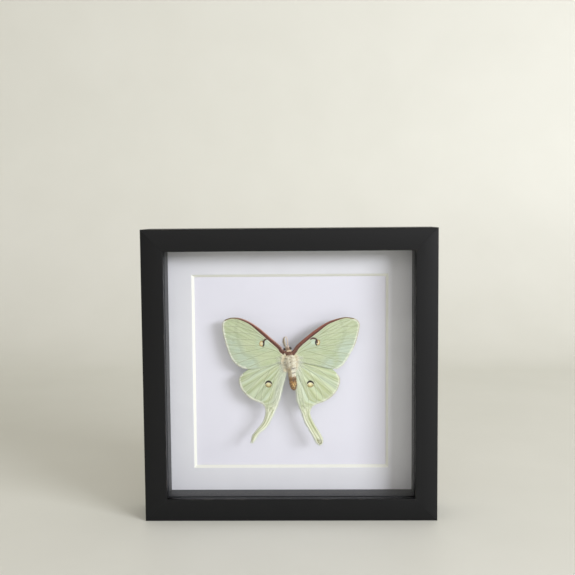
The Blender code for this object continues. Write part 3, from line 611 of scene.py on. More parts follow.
def inside(points, outline):
    """Which of the points are inside a closed outline."""
    odd = np.zeros(len(points), bool)
    for start, end in zip(outline, np.roll(outline, -1, axis=0)):
        if start[1] != end[1]:
            crosses = (start[1] > points[:, 1]) != (end[1] > points[:, 1])
            at = start[0] + (points[:, 1] - start[1]) / (end[1] - start[1]) * (end[0] - start[0])
            odd ^= crosses & (points[:, 0] < at)
    return odd


def hindwing_veins(side):
    """The hindwing's veins, swung towards this side's tail, and the last one led on down it."""
    swung = []
    for line in HINDWING_VEINS:
        swing = [(x + TAIL_SWING[side] * min(max((SWING_START - z) / SWING_REACH, 0), 1), z)
                 for x, z in line]
        swung.append([line[0], *swing[1:]])
    swung[-1] = swung[-1][:-1] + list(TAIL_VEINS[side])
    return swung


print(len(FOREWING_VEINS) + len(HINDWING_VEINS), "veins a side")

# %% [markdown]
# ## Where the moth is in the case
#
# The wings' roots follow the body's side, and the fur has to know the body's shape too, so both start from
# one table of the body's radius along its length. The body leans a little to the left, so it has a frame of
# its own. Places are turned into the case's metres only at the end.

# %% The body's radius and frame
MOTH = (-0.8, 5.9, 131.2)
BODY_RISE = 14.1
BODY_SIDE = 0.25
LEAN = math.radians(6.8)
FLATNESS = 0.92
BODY_RADII = (
    (1.9, 2.1), (1.2, 2.8), (0.3, 3.2), (-0.9, 3.05), (-1.45, 3.0), (-2.4, 3.9), (-4.0, 4.5), (-5.8, 4.55),
    (-8.0, 4.25), (-10.0, 3.7), (-11.15, 3.4), (-13.0, 3.45), (-18.0, 3.3), (-23.0, 3.2), (-26.0, 2.95),
    (-28.0, 2.25), (-29.2, 1.3), (-29.8, 0.4),
)
BODY_LINE = curve_through(BODY_RADII, 0.4)[::-1]
BODY_CENTRE = np.array((MOTH[0] + BODY_SIDE, MOTH[1] - BODY_RISE, MOTH[2]))
BODY_AXES = np.array(((math.cos(LEAN), 0, math.sin(LEAN)), (0, 1, 0), (-math.sin(LEAN), 0, math.cos(LEAN))))


def body_radius(up):
    return np.interp(up, BODY_LINE[:, 0], BODY_LINE[:, 1])


def moth_places(points):
    """Points in metres, from millimetres across and up from the collar and above the backing."""
    x, z, rise = np.transpose(points)
    return np.column_stack((MOTH[0] + x, MOTH[1] - rise, MOTH[2] + z)) * MM


def body_places(points):
    """Points in metres, from millimetres in the body's own frame."""
    return (BODY_CENTRE + np.asarray(points) @ BODY_AXES) * MM


def flank(up, rise, side):
    """How far out the body's side is at this height, from the moth's middle line."""
    radius = body_radius(up / math.cos(LEAN))
    off = (rise - BODY_RISE) / FLATNESS
    wide = np.sqrt(np.maximum(radius ** 2 - off ** 2, 0.01))
    return wide + side * (BODY_SIDE - up * math.tan(LEAN))


print("body centre", BODY_CENTRE, "mm")

# %% [markdown]
# ## What the wings' sheets are made of
#
# A wing could be a flat grid with a cut-out picture on it, but then its veins and edge would be paint. Here
# the outline and the veins are corners of the mesh, so that a vein is a real ridge and the edge is sharp.
# Rows of points fill the space between them. The helpers for that come first, with the surface that all
# four wings share: out from the body it sinks a little, and the tails curve up.

# %% Lines and points of the sheets
WING_ROOT_RISE, WING_DROOP, WING_CAMBER, WING_SPAN, WING_LAYER = 15.0, 0.10, 0.8, 50, 0.525
TAIL_START, TAIL_REACH, TAIL_LIFT = -40, 32, {-1: 5.0, 1: 1.8}
OUTLINE_STEP, FILL_STEP, ROOT_STEP = 0.6, 0.85, 0.9
FILL_APART, FILL_EDGE = 0.42, 0.4
ROOT_SUNK, ROOT_OUT = 0.7, 4
ROW_HEIGHT = 0.87


def wing_rise(x, z, side):
    """How high the wings' shared surface lies above the backing board."""
    arch = WING_CAMBER * np.sin(math.pi * np.clip(x, 0, WING_SPAN) / WING_SPAN)
    rise = WING_ROOT_RISE - WING_DROOP * x + arch
    return rise + TAIL_LIFT[side] * (np.clip(TAIL_START - z, 0, None) / TAIL_REACH) ** 2


def root_line(ends, layer, side):
    """The wing's root, a little inside the body's fur, from back to front."""
    up = np.linspace(ends[1], ends[0], round((ends[0] - ends[1]) / ROOT_STEP) + 1)
    rise = wing_rise(ROOT_OUT, up, side) + layer
    return np.column_stack((flank(up, rise, side) - ROOT_SUNK, up))


def wing_lines(runs, root):
    """The wing's edge as smooth runs that meet at corners. The root's ends join the first and the last."""
    chained = [(root[-1], *runs[0]), *runs[1:-1], (*runs[-1], root[0])]
    return [curve_through(run, OUTLINE_STEP) for run in chained]


def clear_of(points, outline, gap):
    """Those of the points that are inside a closed outline and further than a gap from it."""
    points = points[inside(points, outline)]
    return points[distances(points, np.vstack((outline, outline[:1]))) > gap]


def nearest(points, lines):
    """How far each point is from the nearest of some lines."""
    return np.min([distances(points, line) for line in lines], axis=0)


def scattered(outline, corners):
    """Rows of points that fill the outline, but not close to its edge or to the corners that it has."""
    low, high = outline.min(axis=0), outline.max(axis=0)
    rows = np.arange(low[1], high[1], FILL_STEP * ROW_HEIGHT)
    grid = [(x + FILL_STEP * 0.5 * (row % 2), z) for row, z in enumerate(rows)
            for x in np.arange(low[0], high[0], FILL_STEP)]
    grid = clear_of(np.array(grid), outline, FILL_EDGE)
    gaps = np.array([np.min(np.linalg.norm(corners - point, axis=1)) for point in grid])
    return grid[gaps > FILL_APART]


def across_line(line):
    """The way straight across a flat line at each of its points."""
    along = np.gradient(line, axis=0)
    return np.column_stack((-along[:, 1], along[:, 0])) / np.linalg.norm(along, axis=1)[:, None]


def beside(line, away):
    """A line's points moved off to both sides."""
    across = across_line(line)
    return np.vstack((line + across * away, line - across * away))


def smooth_step(value, low, high):
    share = np.clip((value - low) / (high - low), 0, 1)
    return share * share * (3 - 2 * share)


def keep(mesh, word, numbers):
    """Stores a number or a vector for each corner of a mesh."""
    numbers = np.float32(numbers)
    kind, field = ("FLOAT_VECTOR", "vector") if numbers.ndim == 2 else ("FLOAT", "value")
    if word in mesh.attributes:
        mesh.attributes.remove(mesh.attributes[word])
    mesh.attributes.new(word, kind, "POINT").data.foreach_set(field, numbers.ravel())


print("wings' roots lie", WING_ROOT_RISE, "mm above the board")

# %% [markdown]
# ## The wings' sheets
#
# A triangulation joins outline, veins and filling to a flat sheet, which is then lifted: veins stand up, the
# skin between them swells, and the tails are folded along their middle. Each corner also keeps how far it
# is from the veins, the edges and the root, which the finish reads later.

# %% Make the wings' sheets
VEIN_STEP, VEIN_EDGE, VEIN_HALF, VEIN_TALL = 0.7, 0.45, 0.32, 0.24
COSTA_HALF, COSTA_TALL = 1.0, 0.42
SWELL, SWELL_WIDTH = 0.22, 1.6
PLEATS = {"forewing": (17, 0.22), "hindwing": (11, 0.55)}
PLEATS_OUT, PLEATS_DOWN = (3, 16), (9, 16)
TAIL_FOLD, TAIL_FLOW, TAIL_TURN = 0.55, 0.3, 1.6
TAIL_FROM, TAIL_FULL = 36, 50
SHEET_THICK = 0.16
FORE_START, HIND_START = (1.0, -2.5), (0.0, -4.0)


def flat_sheet(outline, vein_lines):
    """The sheet laid flat: outline, veins, rows beside them and what fills it, joined by triangles."""
    corners = [*outline]
    links = []
    for line in vein_lines:
        links += [(len(corners) + index, len(corners) + index + 1) for index in range(len(line) - 1)]
        corners += [*line]
    sides = np.vstack([beside(line, away) for line in vein_lines for away in (VEIN_HALF, 2 * VEIN_HALF)])
    sides = clear_of(sides, outline, FILL_EDGE)
    corners = np.vstack((corners, sides[nearest(sides, vein_lines) > VEIN_HALF * 0.8]))
    corners = np.vstack((corners, scattered(outline, corners)))
    loop = list(range(len(outline)))
    flat, _, faces, *_ = delaunay_2d_cdt([Vector(point) for point in corners], links, [loop], 1, 0.01)
    return np.array(flat), faces


def what_corners_know(flat, lines, root, vein_lines, side, is_front):
    """How far each corner is from veins, edges and root, and which way the wing runs there."""
    known = {"vein": nearest(flat, vein_lines), "front": distances(flat, lines[0]),
             "edge": nearest(flat, lines[1:2] if is_front else lines[1:3]),
             "inner": distances(flat, lines[-1]), "root": distances(flat, root)}
    start = FORE_START if is_front else HIND_START
    angle = np.arctan2(flat[:, 1] - start[1], flat[:, 0] - start[0])
    across, in_tail = tail_place(flat, lines, is_front)
    known["flow"] = angle * (1 - in_tail) + (across * TAIL_FLOW - TAIL_TURN) * in_tail
    known["tail"] = in_tail * across
    known["lie_x"], known["lie_z"] = side * np.cos(angle), np.sin(angle)
    return known


def tail_place(flat, lines, is_front):
    """How far across the tail each corner is, from 0 to 1, and how much it belongs to the tail."""
    outer, inner = distances(flat, lines[-2]), distances(flat, lines[-1])
    in_tail = np.zeros(len(flat)) if is_front else smooth_step(-flat[:, 1], TAIL_FROM, TAIL_FULL)
    return outer / (outer + inner + 1e-6), in_tail


def sheet_rise(flat, known, lines, layer, side, is_front):
    """How high each corner lies: the shared surface with its veins, swells, pleats and folded tail."""
    rise = wing_rise(flat[:, 0], flat[:, 1], side) + layer
    rise += VEIN_TALL * np.exp(-(known["vein"] / VEIN_HALF) ** 2)
    rise += SWELL * (1 - np.exp(-known["vein"] / SWELL_WIDTH)) * smooth_step(known["edge"], 0, 4)
    folds, deep = PLEATS["forewing" if is_front else "hindwing"]
    spread = smooth_step(known["root"], *PLEATS_OUT)
    if not is_front:
        spread = spread * smooth_step(-flat[:, 1], *PLEATS_DOWN)
    rise += deep * (np.abs(np.sin(known["flow"] * folds)) - 0.6) * spread
    across, in_tail = tail_place(flat, lines, is_front)
    rise -= TAIL_FOLD * (2 * np.abs(across - 0.5)) ** 1.5 * in_tail
    if is_front:
        rise += COSTA_TALL * np.clip(1 - np.abs(known["front"] - COSTA_HALF) / COSTA_HALF, 0, 1)
    return rise


def wing_sheet(name, side, runs, root_ends, layer, veins, is_front):
    """A wing's lifted sheet, with what each corner knows about its place, and its edge's lines."""
    root = root_line(root_ends, layer, side)
    lines = wing_lines(runs, root)
    outline = np.vstack([line[:-1] for line in lines] + [root[:-1]])
    vein_lines = [clear_of(curve_through(points, VEIN_STEP), outline, VEIN_EDGE) for points in veins]
    flat, faces = flat_sheet(outline, vein_lines)
    known = what_corners_know(flat, lines, root, vein_lines, side, is_front)
    rise = sheet_rise(flat, known, lines, layer, side, is_front)
    places = moth_places(np.column_stack((side * flat[:, 0], flat[:, 1], rise)))
    mesh = bpy.data.meshes.new(name)
    mesh.from_pydata(places.tolist(), [], faces)
    if mesh.polygons[0].normal.y > 0:
        mesh.flip_normals()
    for word, numbers in known.items():
        keep(mesh, word, numbers)
    return mesh, lines


def finished_wing(name, mesh):
    """The sheet with a thin wall, as one closed mesh."""
    wing = add_object(name, mesh)
    wall = wing.modifiers.new("wall", "SOLIDIFY")
    wall.thickness = SHEET_THICK * MM
    wall.offset = 0
    applied(wing).shade_smooth()
    return wing


sheets = {}
wings = {}
for side, word in SIDE_WORDS.items():
    stretch = RIGHT_VEINS if side > 0 else (1, 1)
    fore_veins = [[(x * stretch[0], z * stretch[1]) for x, z in line] for line in FOREWING_VEINS]
    plans = (("forewing", FOREWING, FOREWING_ROOT, WING_LAYER, fore_veins),
             ("hindwing", HINDWING, HINDWING_ROOT, -WING_LAYER, hindwing_veins(side)))
    for kind, runs, root_ends, layer, veins in plans:
        name = f"{kind}_{word}"
        sheets[name] = wing_sheet(name, side, runs[side], root_ends, layer, veins, kind == "forewing")
        wings[name] = finished_wing(f"veined_{name}", sheets[name][0].copy())
        ready(wings[name], "green_wing", name)
        print(wings[name].name, len(wings[name].data.polygons), "faces")

# %% [markdown]
# ## The wings' colours
#
# Every mark is placed in millimetres from the collar, so both the pattern and the veins sit where the
# picture has them. Fine streaks follow the veins: their noise is stretched along the lines that run from
# the root to the edge. The margins are bands of the distances that the sheet's corners keep. What all four
# wings share comes first: the streaks, the painted shade and highlight of the pleats, the powder of pale
# scales and the surface. The two sides of a real moth differ, so each mark has a place or a strength for
# the left and for the right; some of these strengths are painted light and shade, because the window
# lights the two sides differently.

# %% What all four wings share
FORE_SPOT = {-1: (21.7, 7.7), 1: (22.9, 8.5)}
FORE_SPOT_HALF = (1.65, 2.1)
HIND_SPOT = {-1: (16.5, -24.7), 1: (16.7, -24.8)}
HIND_SPOT_RADIUS = 2.75
HOOK = {-1: (17.4, 8.9), 1: (19.3, 9.0)}
HOOK_RADIUS = {-1: 2.55, 1: 3.0}
# How much of each forewing's colour is kept: the right one is darkened as painted shade, against its tilt
# towards the window lamp.
FORE_PAINTED_SHADE = {-1: 1.0, 1: 0.9}
TAIL_MARGIN = {-1: 0.75, 1: 0.2}
# How far the costa's pink rim reaches: a painted highlight, wider on the left wing.
COSTA_RIM_HIGHLIGHT = {-1: 1.1, 1: 0.5}
SILVER = {-1: 0.7, 1: 0.4}
MARGIN = {-1: 1.0, 1: 0.6}
FORE_BROWN, HIND_BROWN = {-1: 0.15, 1: 0.75}, {-1: 0.15, 1: 0.7}
STREAK_FINE, HAIRLINE_FINE, SCALES_FINE = 46, 130, 5.5
DOTS = {-1: ((43.0, 16.6), (44.5, 10.0)), 1: ((46.3, 21.0), (43.2, 16.1))}


def from_spot(tree, out, up, centre, half=(1, 1)):
    """How far a place is from a spot's centre, in parts of the spot's half sizes."""
    offset = tree.joined((out - centre[0]) / half[0], (up - centre[1]) / half[1])
    return tree.vector("LENGTH", offset, None, "Value")


def wing_start(kind, side):
    """The material's tree, the place out and up from the collar, and streaks along the veins."""
    material, tree, place = new_material(f"{kind}_green_{SIDE_WORDS[side]}")
    x, _, z = tree.parts(place)
    out = (x - MOTH[0]) * side
    up = z - MOTH[2]
    flow, root = tree.attribute("flow"), tree.attribute("root")
    streak = tree.noise(tree.joined(flow * STREAK_FINE, root * 0.035, side), 1, 3, 0.65)
    fine = tree.noise(tree.joined(flow * HAIRLINE_FINE, root * 0.1, side), 1, 2, 0.6)
    return material, tree, place, out, up, streak, fine


def pleat_shade_and_highlight(tree, base, folds, share):
    """Painted shade in the grooves of fine folds between the veins, and a painted highlight on their ridges.
    """
    wave = abs(tree.math("SINE", tree.attribute("flow") * folds))
    return over(base,
                (wave.falling(0.05, 0.4) * share, 136, 144, 108),
                (wave.rising(0.75, 1.0) * share * 0.7, 226, 231, 208))


def powdered(tree, place, base):
    """Pale scales strewn over the green."""
    scales = tree.noise(place, SCALES_FINE, 2, 0.6)
    return over(base, (scales.rising(0.35, 0.7) * 0.16, 236, 240, 220))


def pale_margin(tree, place, edge, streak):
    """The powdery strip along the outer edge, broken where the streaks run out to it."""
    ragged = tree.noise(place, 0.8, 3, 0.6)
    gaps = 1 - streak.rising(0.5, 0.62) * edge.rising(0.1, 0.5) * 0.6
    return (edge + ragged * 1.3).falling(1.3, 2.6) * gaps


def wing_end(material, tree, place, base, fine, vein):
    """The same close, powdery surface for all four wings: scales in rows and a soft sheen."""
    scales = tree.noise(place, SCALES_FINE, 2, 0.6)
    relief = scales * 0.5 + fine * 0.6 + vein.falling(0.1, 0.5) * 0.5
    return finish(material, tree, base, 0.72, relief, 0.06, Sheen_Weight=0.12, Sheen_Roughness=0.5,
                  Specular_IOR_Level=0.3)


print("wing helpers ready")

# %% [markdown]
# ## The forewing's finish
#
# A luna moth's forewing is yellow green with a blue-green belt inside its pale outer edge. Its front edge
# is a maroon band with a pink rim, which is a painted highlight, and a pale line under it, and a hook joins
# it to a small eyespot. The green comes first, then what lies over it, from the broadest mark to the
# smallest, as a painter would.

# %% Forewing finish
def dusky_scales(tree, out, up, edge, side):
    """The faint dark line inside the outer edge, and the dusky dots near it."""
    dots = [from_spot(tree, out, up, spot).falling(0.3, 1.4) * 0.5 for spot in DOTS[side]]
    return tree.most(edge.band(10.5, 0.5, 1.3) * 0.25, *dots)


def costa(tree, base, place, front, out, side):
    """The maroon front edge: a pink rim painted as a highlight, a dark lower side, and a pale line under it.
    """
    broad = 3.05 - 1.3 * out.rising(22, 34) - 0.9 * out.rising(34, 46)
    ragged = tree.noise(place, 1.7, 3, 0.7)
    uneven = front + ragged * 0.3
    red = tree.mix((front / broad).rising(0.25, 0.85), colour(140, 76, 62), colour(84, 40, 32))
    red = over(red,
               (ragged.rising(0.42, 0.68) * 0.4, 74, 36, 32),
               ((out + ragged * 8).falling(9, 18) * 0.6, 86, 44, 32),
               # The pink rim along the costa's top is a painted highlight.
               (uneven.falling(0.25, COSTA_RIM_HIGHLIGHT[side]) * 0.75, 222, 188, 176),
               (out.rising(34, 46) * 0.85, 132, 118, 86))
    base = over(base, ((front - broad).falling(0.05, 0.5) * 0.6, 222, 214, 186))
    return tree.mix((uneven - broad).falling(0.0, 0.25), base, red)


def fore_spot(tree, base, out, up, hook_reach, side):
    """The small eyespot: a pale middle, an ochre ring, a black crescent and a hook up to the front edge."""
    centre = FORE_SPOT[side]
    reach = from_spot(tree, out, up, centre, FORE_SPOT_HALF)
    body_side = out.falling(centre[0] - 1.2, centre[0] - 0.4)
    slant = up - HOOK[side][1] + (out - HOOK[side][0]) * 0.55
    stroke = hook_reach.band(HOOK_RADIUS[side], 0.52, 0.22) * slant.rising(0.3, 0.8)
    return over(base,
                (reach.falling(1.0, 1.25) * 0.8, 150, 128, 88),
                (reach.falling(0.9, 1.0), 206, 170, 110),
                (reach.falling(0.5, 0.75), 232, 222, 182),
                (reach.band(0.7, 0.05, 0.08) * body_side, 238, 232, 214),
                (reach.band(1.08, 0.28, 0.12) * body_side, 36, 28, 30),
                (stroke, 74, 42, 38))


def forewing_finish(side):
    """Green with streaks and veins, then wool at the root, the eyespot, the margin and the front edge."""
    material, tree, place, out, up, streak, fine = wing_start("forewing", side)
    words = ("vein", "front", "edge", "inner", "root")
    vein, front, edge, inner, root = [tree.attribute(word) for word in words]
    cloud = tree.noise(place, 0.09, 3, 0.6)
    belt = edge.band(5.5, 2, 8) * up.falling(6, 20) * cloud.rising(0.15, 0.6)
    cell = vein.band(2.5, 1.2, 1.5) * out.band(17, 6, 5) * up.rising(0, 5)
    base = tree.mix(cloud.rising(0.3, 0.7), colour(184, 197, 154), colour(200, 209, 170))
    base = over(base,
                (belt * 0.8, 192, 209, 196),
                (cell * 0.45, 199, 217, 200),
                (streak.rising(0.5, 0.66) * 0.4, 162, 172, 126),
                (streak.falling(0.34, 0.46) * 0.45, 213, 221, 194),
                (fine.falling(0.34, 0.42) * 0.4, 156, 164, 126),
                (fine.rising(0.6, 0.7) * 0.4, 222, 228, 206),
                (dusky_scales(tree, out, up, edge, side), 150, 160, 122),
                # A pale line beside each vein: a painted highlight along the vein's ridge.
                (vein.band(0.5, 0.12, 0.25) * 0.3, 214, 220, 190),
                (vein.falling(0.04, 0.3) * 0.75, 138, 144, 108))
    # Painted shade in the fine folds' grooves and a painted highlight on their ridges.
    base = pleat_shade_and_highlight(tree, base, 3 * PLEATS["forewing"][0], 0.22 * root.rising(6, 20))
    # The right forewing is darkened as painted shade, against its tilt towards the window lamp.
    base = powdered(tree, place, tree.scaled(base, FORE_PAINTED_SHADE[side]))
    hook_reach = from_spot(tree, out, up, HOOK[side])
    base = over(base,
                ((root + cloud * 4).falling(2, 7) * 0.6, 222, 228, 206),
                ((inner + fine).falling(0.6, 1.6) * 0.6, 220, 226, 204),
                (hook_reach.falling(1.6, 2.7) * up.rising(5.5, 8) * 0.6, 206, 222, 206))
    base = fore_spot(tree, base, out, up, hook_reach, side)
    brown = edge.band(0.18, 0.12, 0.2) * up.rising(0, 8) * FORE_BROWN[side]
    base = over(base,
                (pale_margin(tree, place, edge, streak) * MARGIN[side], 248, 248, 236),
                (brown, 164, 130, 108))
    return wing_end(material, tree, place, costa(tree, base, place, front, out, side), fine, vein)


forewing_finishes = {side: forewing_finish(side) for side in SIDE_WORDS}
print("forewing finishes", len(forewing_finishes))

# %% [markdown]
# ## The hindwing's finish
#
# The hindwing is the same green, with broader streaks, silvery hair along its inner edge and a round
# eyespot under a black crescent. Its tail turns cream, with dark lines along it, and its tip is worn. The
# eyespot is a few circles, one inside the other, and the crescent is what one circle leaves of another.

# %% Hindwing finish
def hind_spot(tree, base, out, up, side):
    """The round eyespot: an ochre ring round a yellow middle, under a black crescent."""
    centre = HIND_SPOT[side]
    reach = from_spot(tree, out, up, centre) + (tree.noise(tree.joined(out, up), 1.2, 2) - 0.5) * 0.25
    size = HIND_SPOT_RADIUS
    low_part = up.falling(centre[1] - size * 0.75, centre[1] - size * 0.1)
    lower = from_spot(tree, out, up, (centre[0], centre[1] - size * 0.62))
    crescent = reach.falling(size * 0.96, size * 1.06) * lower.rising(size * 1.0, size * 1.1)
    pale = lower.band(size * 0.93, size * 0.05, size * 0.05) * reach.falling(size * 0.85, size)
    return over(base,
                (reach.falling(size * 0.96, size * 1.1), 138, 124, 82),
                (reach.falling(size * 0.78, size * 0.9), 164, 150, 94),
                (reach.falling(size * 0.55, size * 0.78), 212, 198, 142),
                (reach.falling(size * 0.2, size * 0.55), 240, 230, 182),
                (low_part * reach.falling(size * 0.5, size * 0.8) * 0.5, 198, 188, 138),
                (pale * 0.85, 240, 232, 214),
                (crescent, 34, 28, 30))


def tail_colours(tree, base, place, up, streak, fine, in_tail):
    """The tail: cream with green streaks, dark lines along it and a worn tip."""
    warm = tree.mix(streak.rising(0.42, 0.6), colour(255, 254, 236), colour(196, 200, 148))
    warm = over(warm, (fine.rising(0.5, 0.62) * 0.5, 244, 244, 228))
    phase = (tree.attribute("tail") + (streak - 0.5) * 0.1) * (3 * math.pi)
    lines = abs(tree.math("SINE", phase)).falling(0.2, 0.6)
    torn = tree.noise(place, 0.9, 2, 0.6)
    return over(tree.mix(in_tail * 0.85, base, warm),
                (in_tail * lines * 0.7, 134, 138, 92),
                ((up - torn * 6).falling(-76, -71) * torn.rising(0.4, 0.52) * 0.85, 108, 100, 78))


def hindwing_finish(side):
    """Green with streaks and veins, then silver hair, the tail, the margins and the eyespot."""
    material, tree, place, out, up, streak, fine = wing_start("hindwing", side)
    words = ("vein", "edge", "inner", "root", "flow")
    vein, edge, inner, root, flow = [tree.attribute(word) for word in words]
    cloud = tree.noise(place, 0.1, 3, 0.6)
    broad = tree.noise(tree.joined(flow * 11, root * 0.02, side), 1, 1, 0.5)
    base = tree.mix(cloud.rising(0.3, 0.7), colour(188, 201, 160), colour(201, 210, 172))
    base = over(base,
                (broad.rising(0.48, 0.62) * 0.6, 186, 192, 138),
                (broad.falling(0.36, 0.48) * 0.6, 204, 217, 200),
                (streak.rising(0.52, 0.66) * 0.55, 150, 160, 114),
                (streak.falling(0.34, 0.46) * 0.55, 218, 224, 198),
                (fine.falling(0.34, 0.42) * 0.48, 154, 164, 128),
                (fine.rising(0.6, 0.7) * 0.42, 224, 229, 208),
                # A pale line beside each vein: a painted highlight along the vein's ridge.
                (vein.band(0.5, 0.12, 0.25) * 0.35, 218, 223, 194),
                (vein.falling(0.04, 0.32) * 0.75, 142, 148, 110))
    # Painted shade in the fine folds' grooves and a painted highlight on their ridges.
    base = pleat_shade_and_highlight(tree, base, 2 * PLEATS["hindwing"][0], 0.4 * root.rising(4, 14))
    hairy = (inner + cloud * 3).falling(4, 10) * up.rising(-56, -34)
    base = over(powdered(tree, place, base),
                (hairy * SILVER[side], 224, 228, 214),
                (hairy * streak.rising(0.48, 0.58) * 0.8, 158, 166, 138))
    in_tail = up.falling(-50, -38)
    base = tail_colours(tree, base, place, up, streak, fine, in_tail)
    margin = tree.most(pale_margin(tree, place, edge, streak) * (1 - 0.85 * in_tail) * MARGIN[side],
                       in_tail * edge.falling(0.5, 1.0) * TAIL_MARGIN[side],
                       inner.falling(0.4, 1.3) * up.falling(-34, -20) * 0.8)
    brown = edge.band(0.15, 0.1, 0.2) * up.rising(-42, -34) * HIND_BROWN[side]
    base = over(base,
                (margin, 247, 247, 233),
                (in_tail * edge.band(1.3, 0.2, 0.4) * 0.5, 136, 140, 98),
                (brown, 172, 142, 112),
                (root.falling(1, 6) * 0.7, 226, 230, 212))
    return wing_end(material, tree, place, hind_spot(tree, base, out, up, side), fine, vein)


for side, word in SIDE_WORDS.items():
    for kind, material in (("forewing", forewing_finishes[side]), ("hindwing", hindwing_finish(side))):
        paint(wings[f"{kind}_{word}"].data, material)
print("wing finishes", len([material for material in bpy.data.materials if "wing" in material.name]))

# %% [markdown]
# ## The skin of the body
#
# Under its fur a moth has one continuous skin: a small round head, a broad thorax and a ringed abdomen. The
# solids show them apart, and here one skin takes the place of them all, so no seam can show through the
# fur. It is a table of rings, each with its half widths and its sideways place, joined by smooth lines. It
# lies inside the solids by the depth of the fur. Each corner keeps which way the fur lies there, how long
# it is and how dense, so that the next step only has to read them.

# %% Make the skin
HEAD_SIDE, HEAD_UP, HEAD_HALF = -1.0, 3.75, (2.3, 2.1, 1.55)
EYE_OUT, EYE_FORWARD, EYE_RADIUS = 2.15, 0.2, 1.2
SKIN_TOP = ((5.0, 0.05, 0.05, -1.0), (4.9, 0.9, 0.85, -1.0), (4.6, 1.5, 1.4, -1.0), (4.2, 1.8, 1.65, -1.0),
            (3.7, 1.95, 1.75, -1.0), (3.1, 1.85, 1.7, -0.85), (2.5, 1.7, 1.6, -0.5), (1.8, 1.85, 1.7, -0.15),
            (1.1, 2.3, 2.1, 0.0))
SKIN_STEP, SKIN_AROUND = 0.22, 72
COAT_DEPTHS = ((-29.8, 0.2), (-28, 0.4), (-20, 0.5), (-12, 0.45), (-9, 0.9), (-3, 0.9), (-1.3, 0.4),
               (0.9, 0.4))
ABDOMEN_TOP, ABDOMEN_END, ABDOMEN_RINGS, RING_SUNK = -11.3, -29.8, 7, 0.3
REGION_EDGES = {"head": (2.0, 7.0), "collar": (-1.35, 2.0), "thorax": (-11.6, -1.35),
                "abdomen": (-31.0, -11.6)}


def ring_phase(up):
    """Where a place is within its ring of the abdomen, from 0 at the ring's front to 1 at its back."""
    return (ABDOMEN_TOP - up) / (ABDOMEN_TOP - ABDOMEN_END) * ABDOMEN_RINGS


def skin_rows():
    """The skin's rings from the head to the abdomen's tip: up, half width, half depth, sideways place."""
    up = np.arange(0.4, ABDOMEN_END + 0.1, -0.8)
    radius = body_radius(up) - np.interp(up, *np.transpose(COAT_DEPTHS))
    low = np.column_stack((up, radius, radius * FLATNESS, np.zeros(len(up))))
    rows = curve_through([*SKIN_TOP, *low, (ABDOMEN_END + 0.15, 0.05, 0.05, 0)], SKIN_STEP)
    phase = ring_phase(rows[:, 0])
    sunk = RING_SUNK * np.abs(np.cos(math.pi * phase)) ** 8 * (rows[:, 0] < ABDOMEN_TOP - 1)
    rows[:, 1:3] = np.maximum(rows[:, 1:3] - sunk[:, None], 0.05)
    return rows


def make_skin():
    """A mesh with its unwrap: across goes round the body and up goes along it."""
    rows = skin_rows()
    turns = np.linspace(0, 2 * math.pi, SKIN_AROUND, endpoint=False)
    points = [(side + wide * math.cos(turn), deep * math.sin(turn), up)
              for up, wide, deep, side in rows for turn in turns]
    corners, maps = [], []
    for row in range(len(rows) - 1):
        for step in range(SKIN_AROUND):
            places = ((step, row), (step, row + 1), (step + 1, row + 1), (step + 1, row))
            corners.append([down * SKIN_AROUND + across % SKIN_AROUND for across, down in places])
            maps += [(across / SKIN_AROUND, 1 - down / (len(rows) - 1)) for across, down in places]
    for row, order in ((0, range(SKIN_AROUND)), (len(rows) - 1, range(SKIN_AROUND)[::-1])):
        corners.append([row * SKIN_AROUND + step for step in order])
        maps += [(step / SKIN_AROUND, 1 - row / (len(rows) - 1)) for step in order]
    mesh = bpy.data.meshes.new("skin")
    mesh.from_pydata(body_places(points).tolist(), [], corners)
    mesh.uv_layers.new(name="skin_map").data.foreach_set("uv", np.float32(maps).ravel())
    bm = bmesh.new()
    bm.from_mesh(mesh)
    bmesh.ops.recalc_face_normals(bm, faces=bm.faces)
    bm.to_mesh(mesh)
    bm.free()
    mesh.shade_smooth()
    return mesh, np.array(points)


def read(parts, word, wide=1, kind=np.float32):
    """What each of a mesh's parts holds under a word: a number, or a row of them."""
    numbers = np.empty(len(parts) * wide, kind)
    parts.foreach_get(word, numbers)
    return numbers.reshape(-1, wide) if wide > 1 else numbers


skin_mesh, skin_points = make_skin()
skin = add_object("body_skin", skin_mesh)
print("skin", len(skin_mesh.polygons), "faces")

# %% [markdown]
# ## The markings of skin and fur
#
# Skin and fur share one set of markings, so that a gap between two tufts shows the same colour below. The
# head's crown is brown, a cream band and the maroon collar lie behind it, and the thorax is white wool with
# painted shade between its clumps and in two dips along it. The abdomen is grey brown on its left and white
# on its right, with three dark rings, and turns golden towards its tip, where its right side carries a
# painted highlight. All of it is worked out from the place in the body's own frame. A number that each tuft
# keeps makes it a little lighter or darker.

# %% The body's finish
FUR_COLOURS = {
    "wool": ((254, 249, 232), (255, 255, 248)),
    "grey": ((180, 160, 128), (226, 212, 186)),
    "white": ((250, 245, 232), (255, 255, 250)),
    "gold": ((170, 114, 50), (224, 172, 96)),
    "belly": ((214, 196, 160), (236, 226, 200)),
    "maroon": ((116, 62, 38), (172, 112, 78)),
    "cream": ((252, 226, 200), (255, 244, 226)),
    "crown": ((112, 76, 58), (176, 138, 112)),
}
# The two dips in the thorax's wool, where shade is painted.
WOOL_SHADE_DIPS = (-2.7, 0.7)
DARK_RINGS = (-12.0, -15.6, -19.0)


def thorax_wool(tree, fur, clump, across):
    """White wool, with painted shade between its clumps and along two dips."""
    dips = tree.most(*[across.band(dip, 0.4, 1.2) for dip in WOOL_SHADE_DIPS])
    return over(fur["wool"],
                (clump.rising(0.52, 0.62) * 0.6, 184, 160, 120),
                (dips * clump.rising(0.34, 0.5) * 0.5, 160, 140, 108))


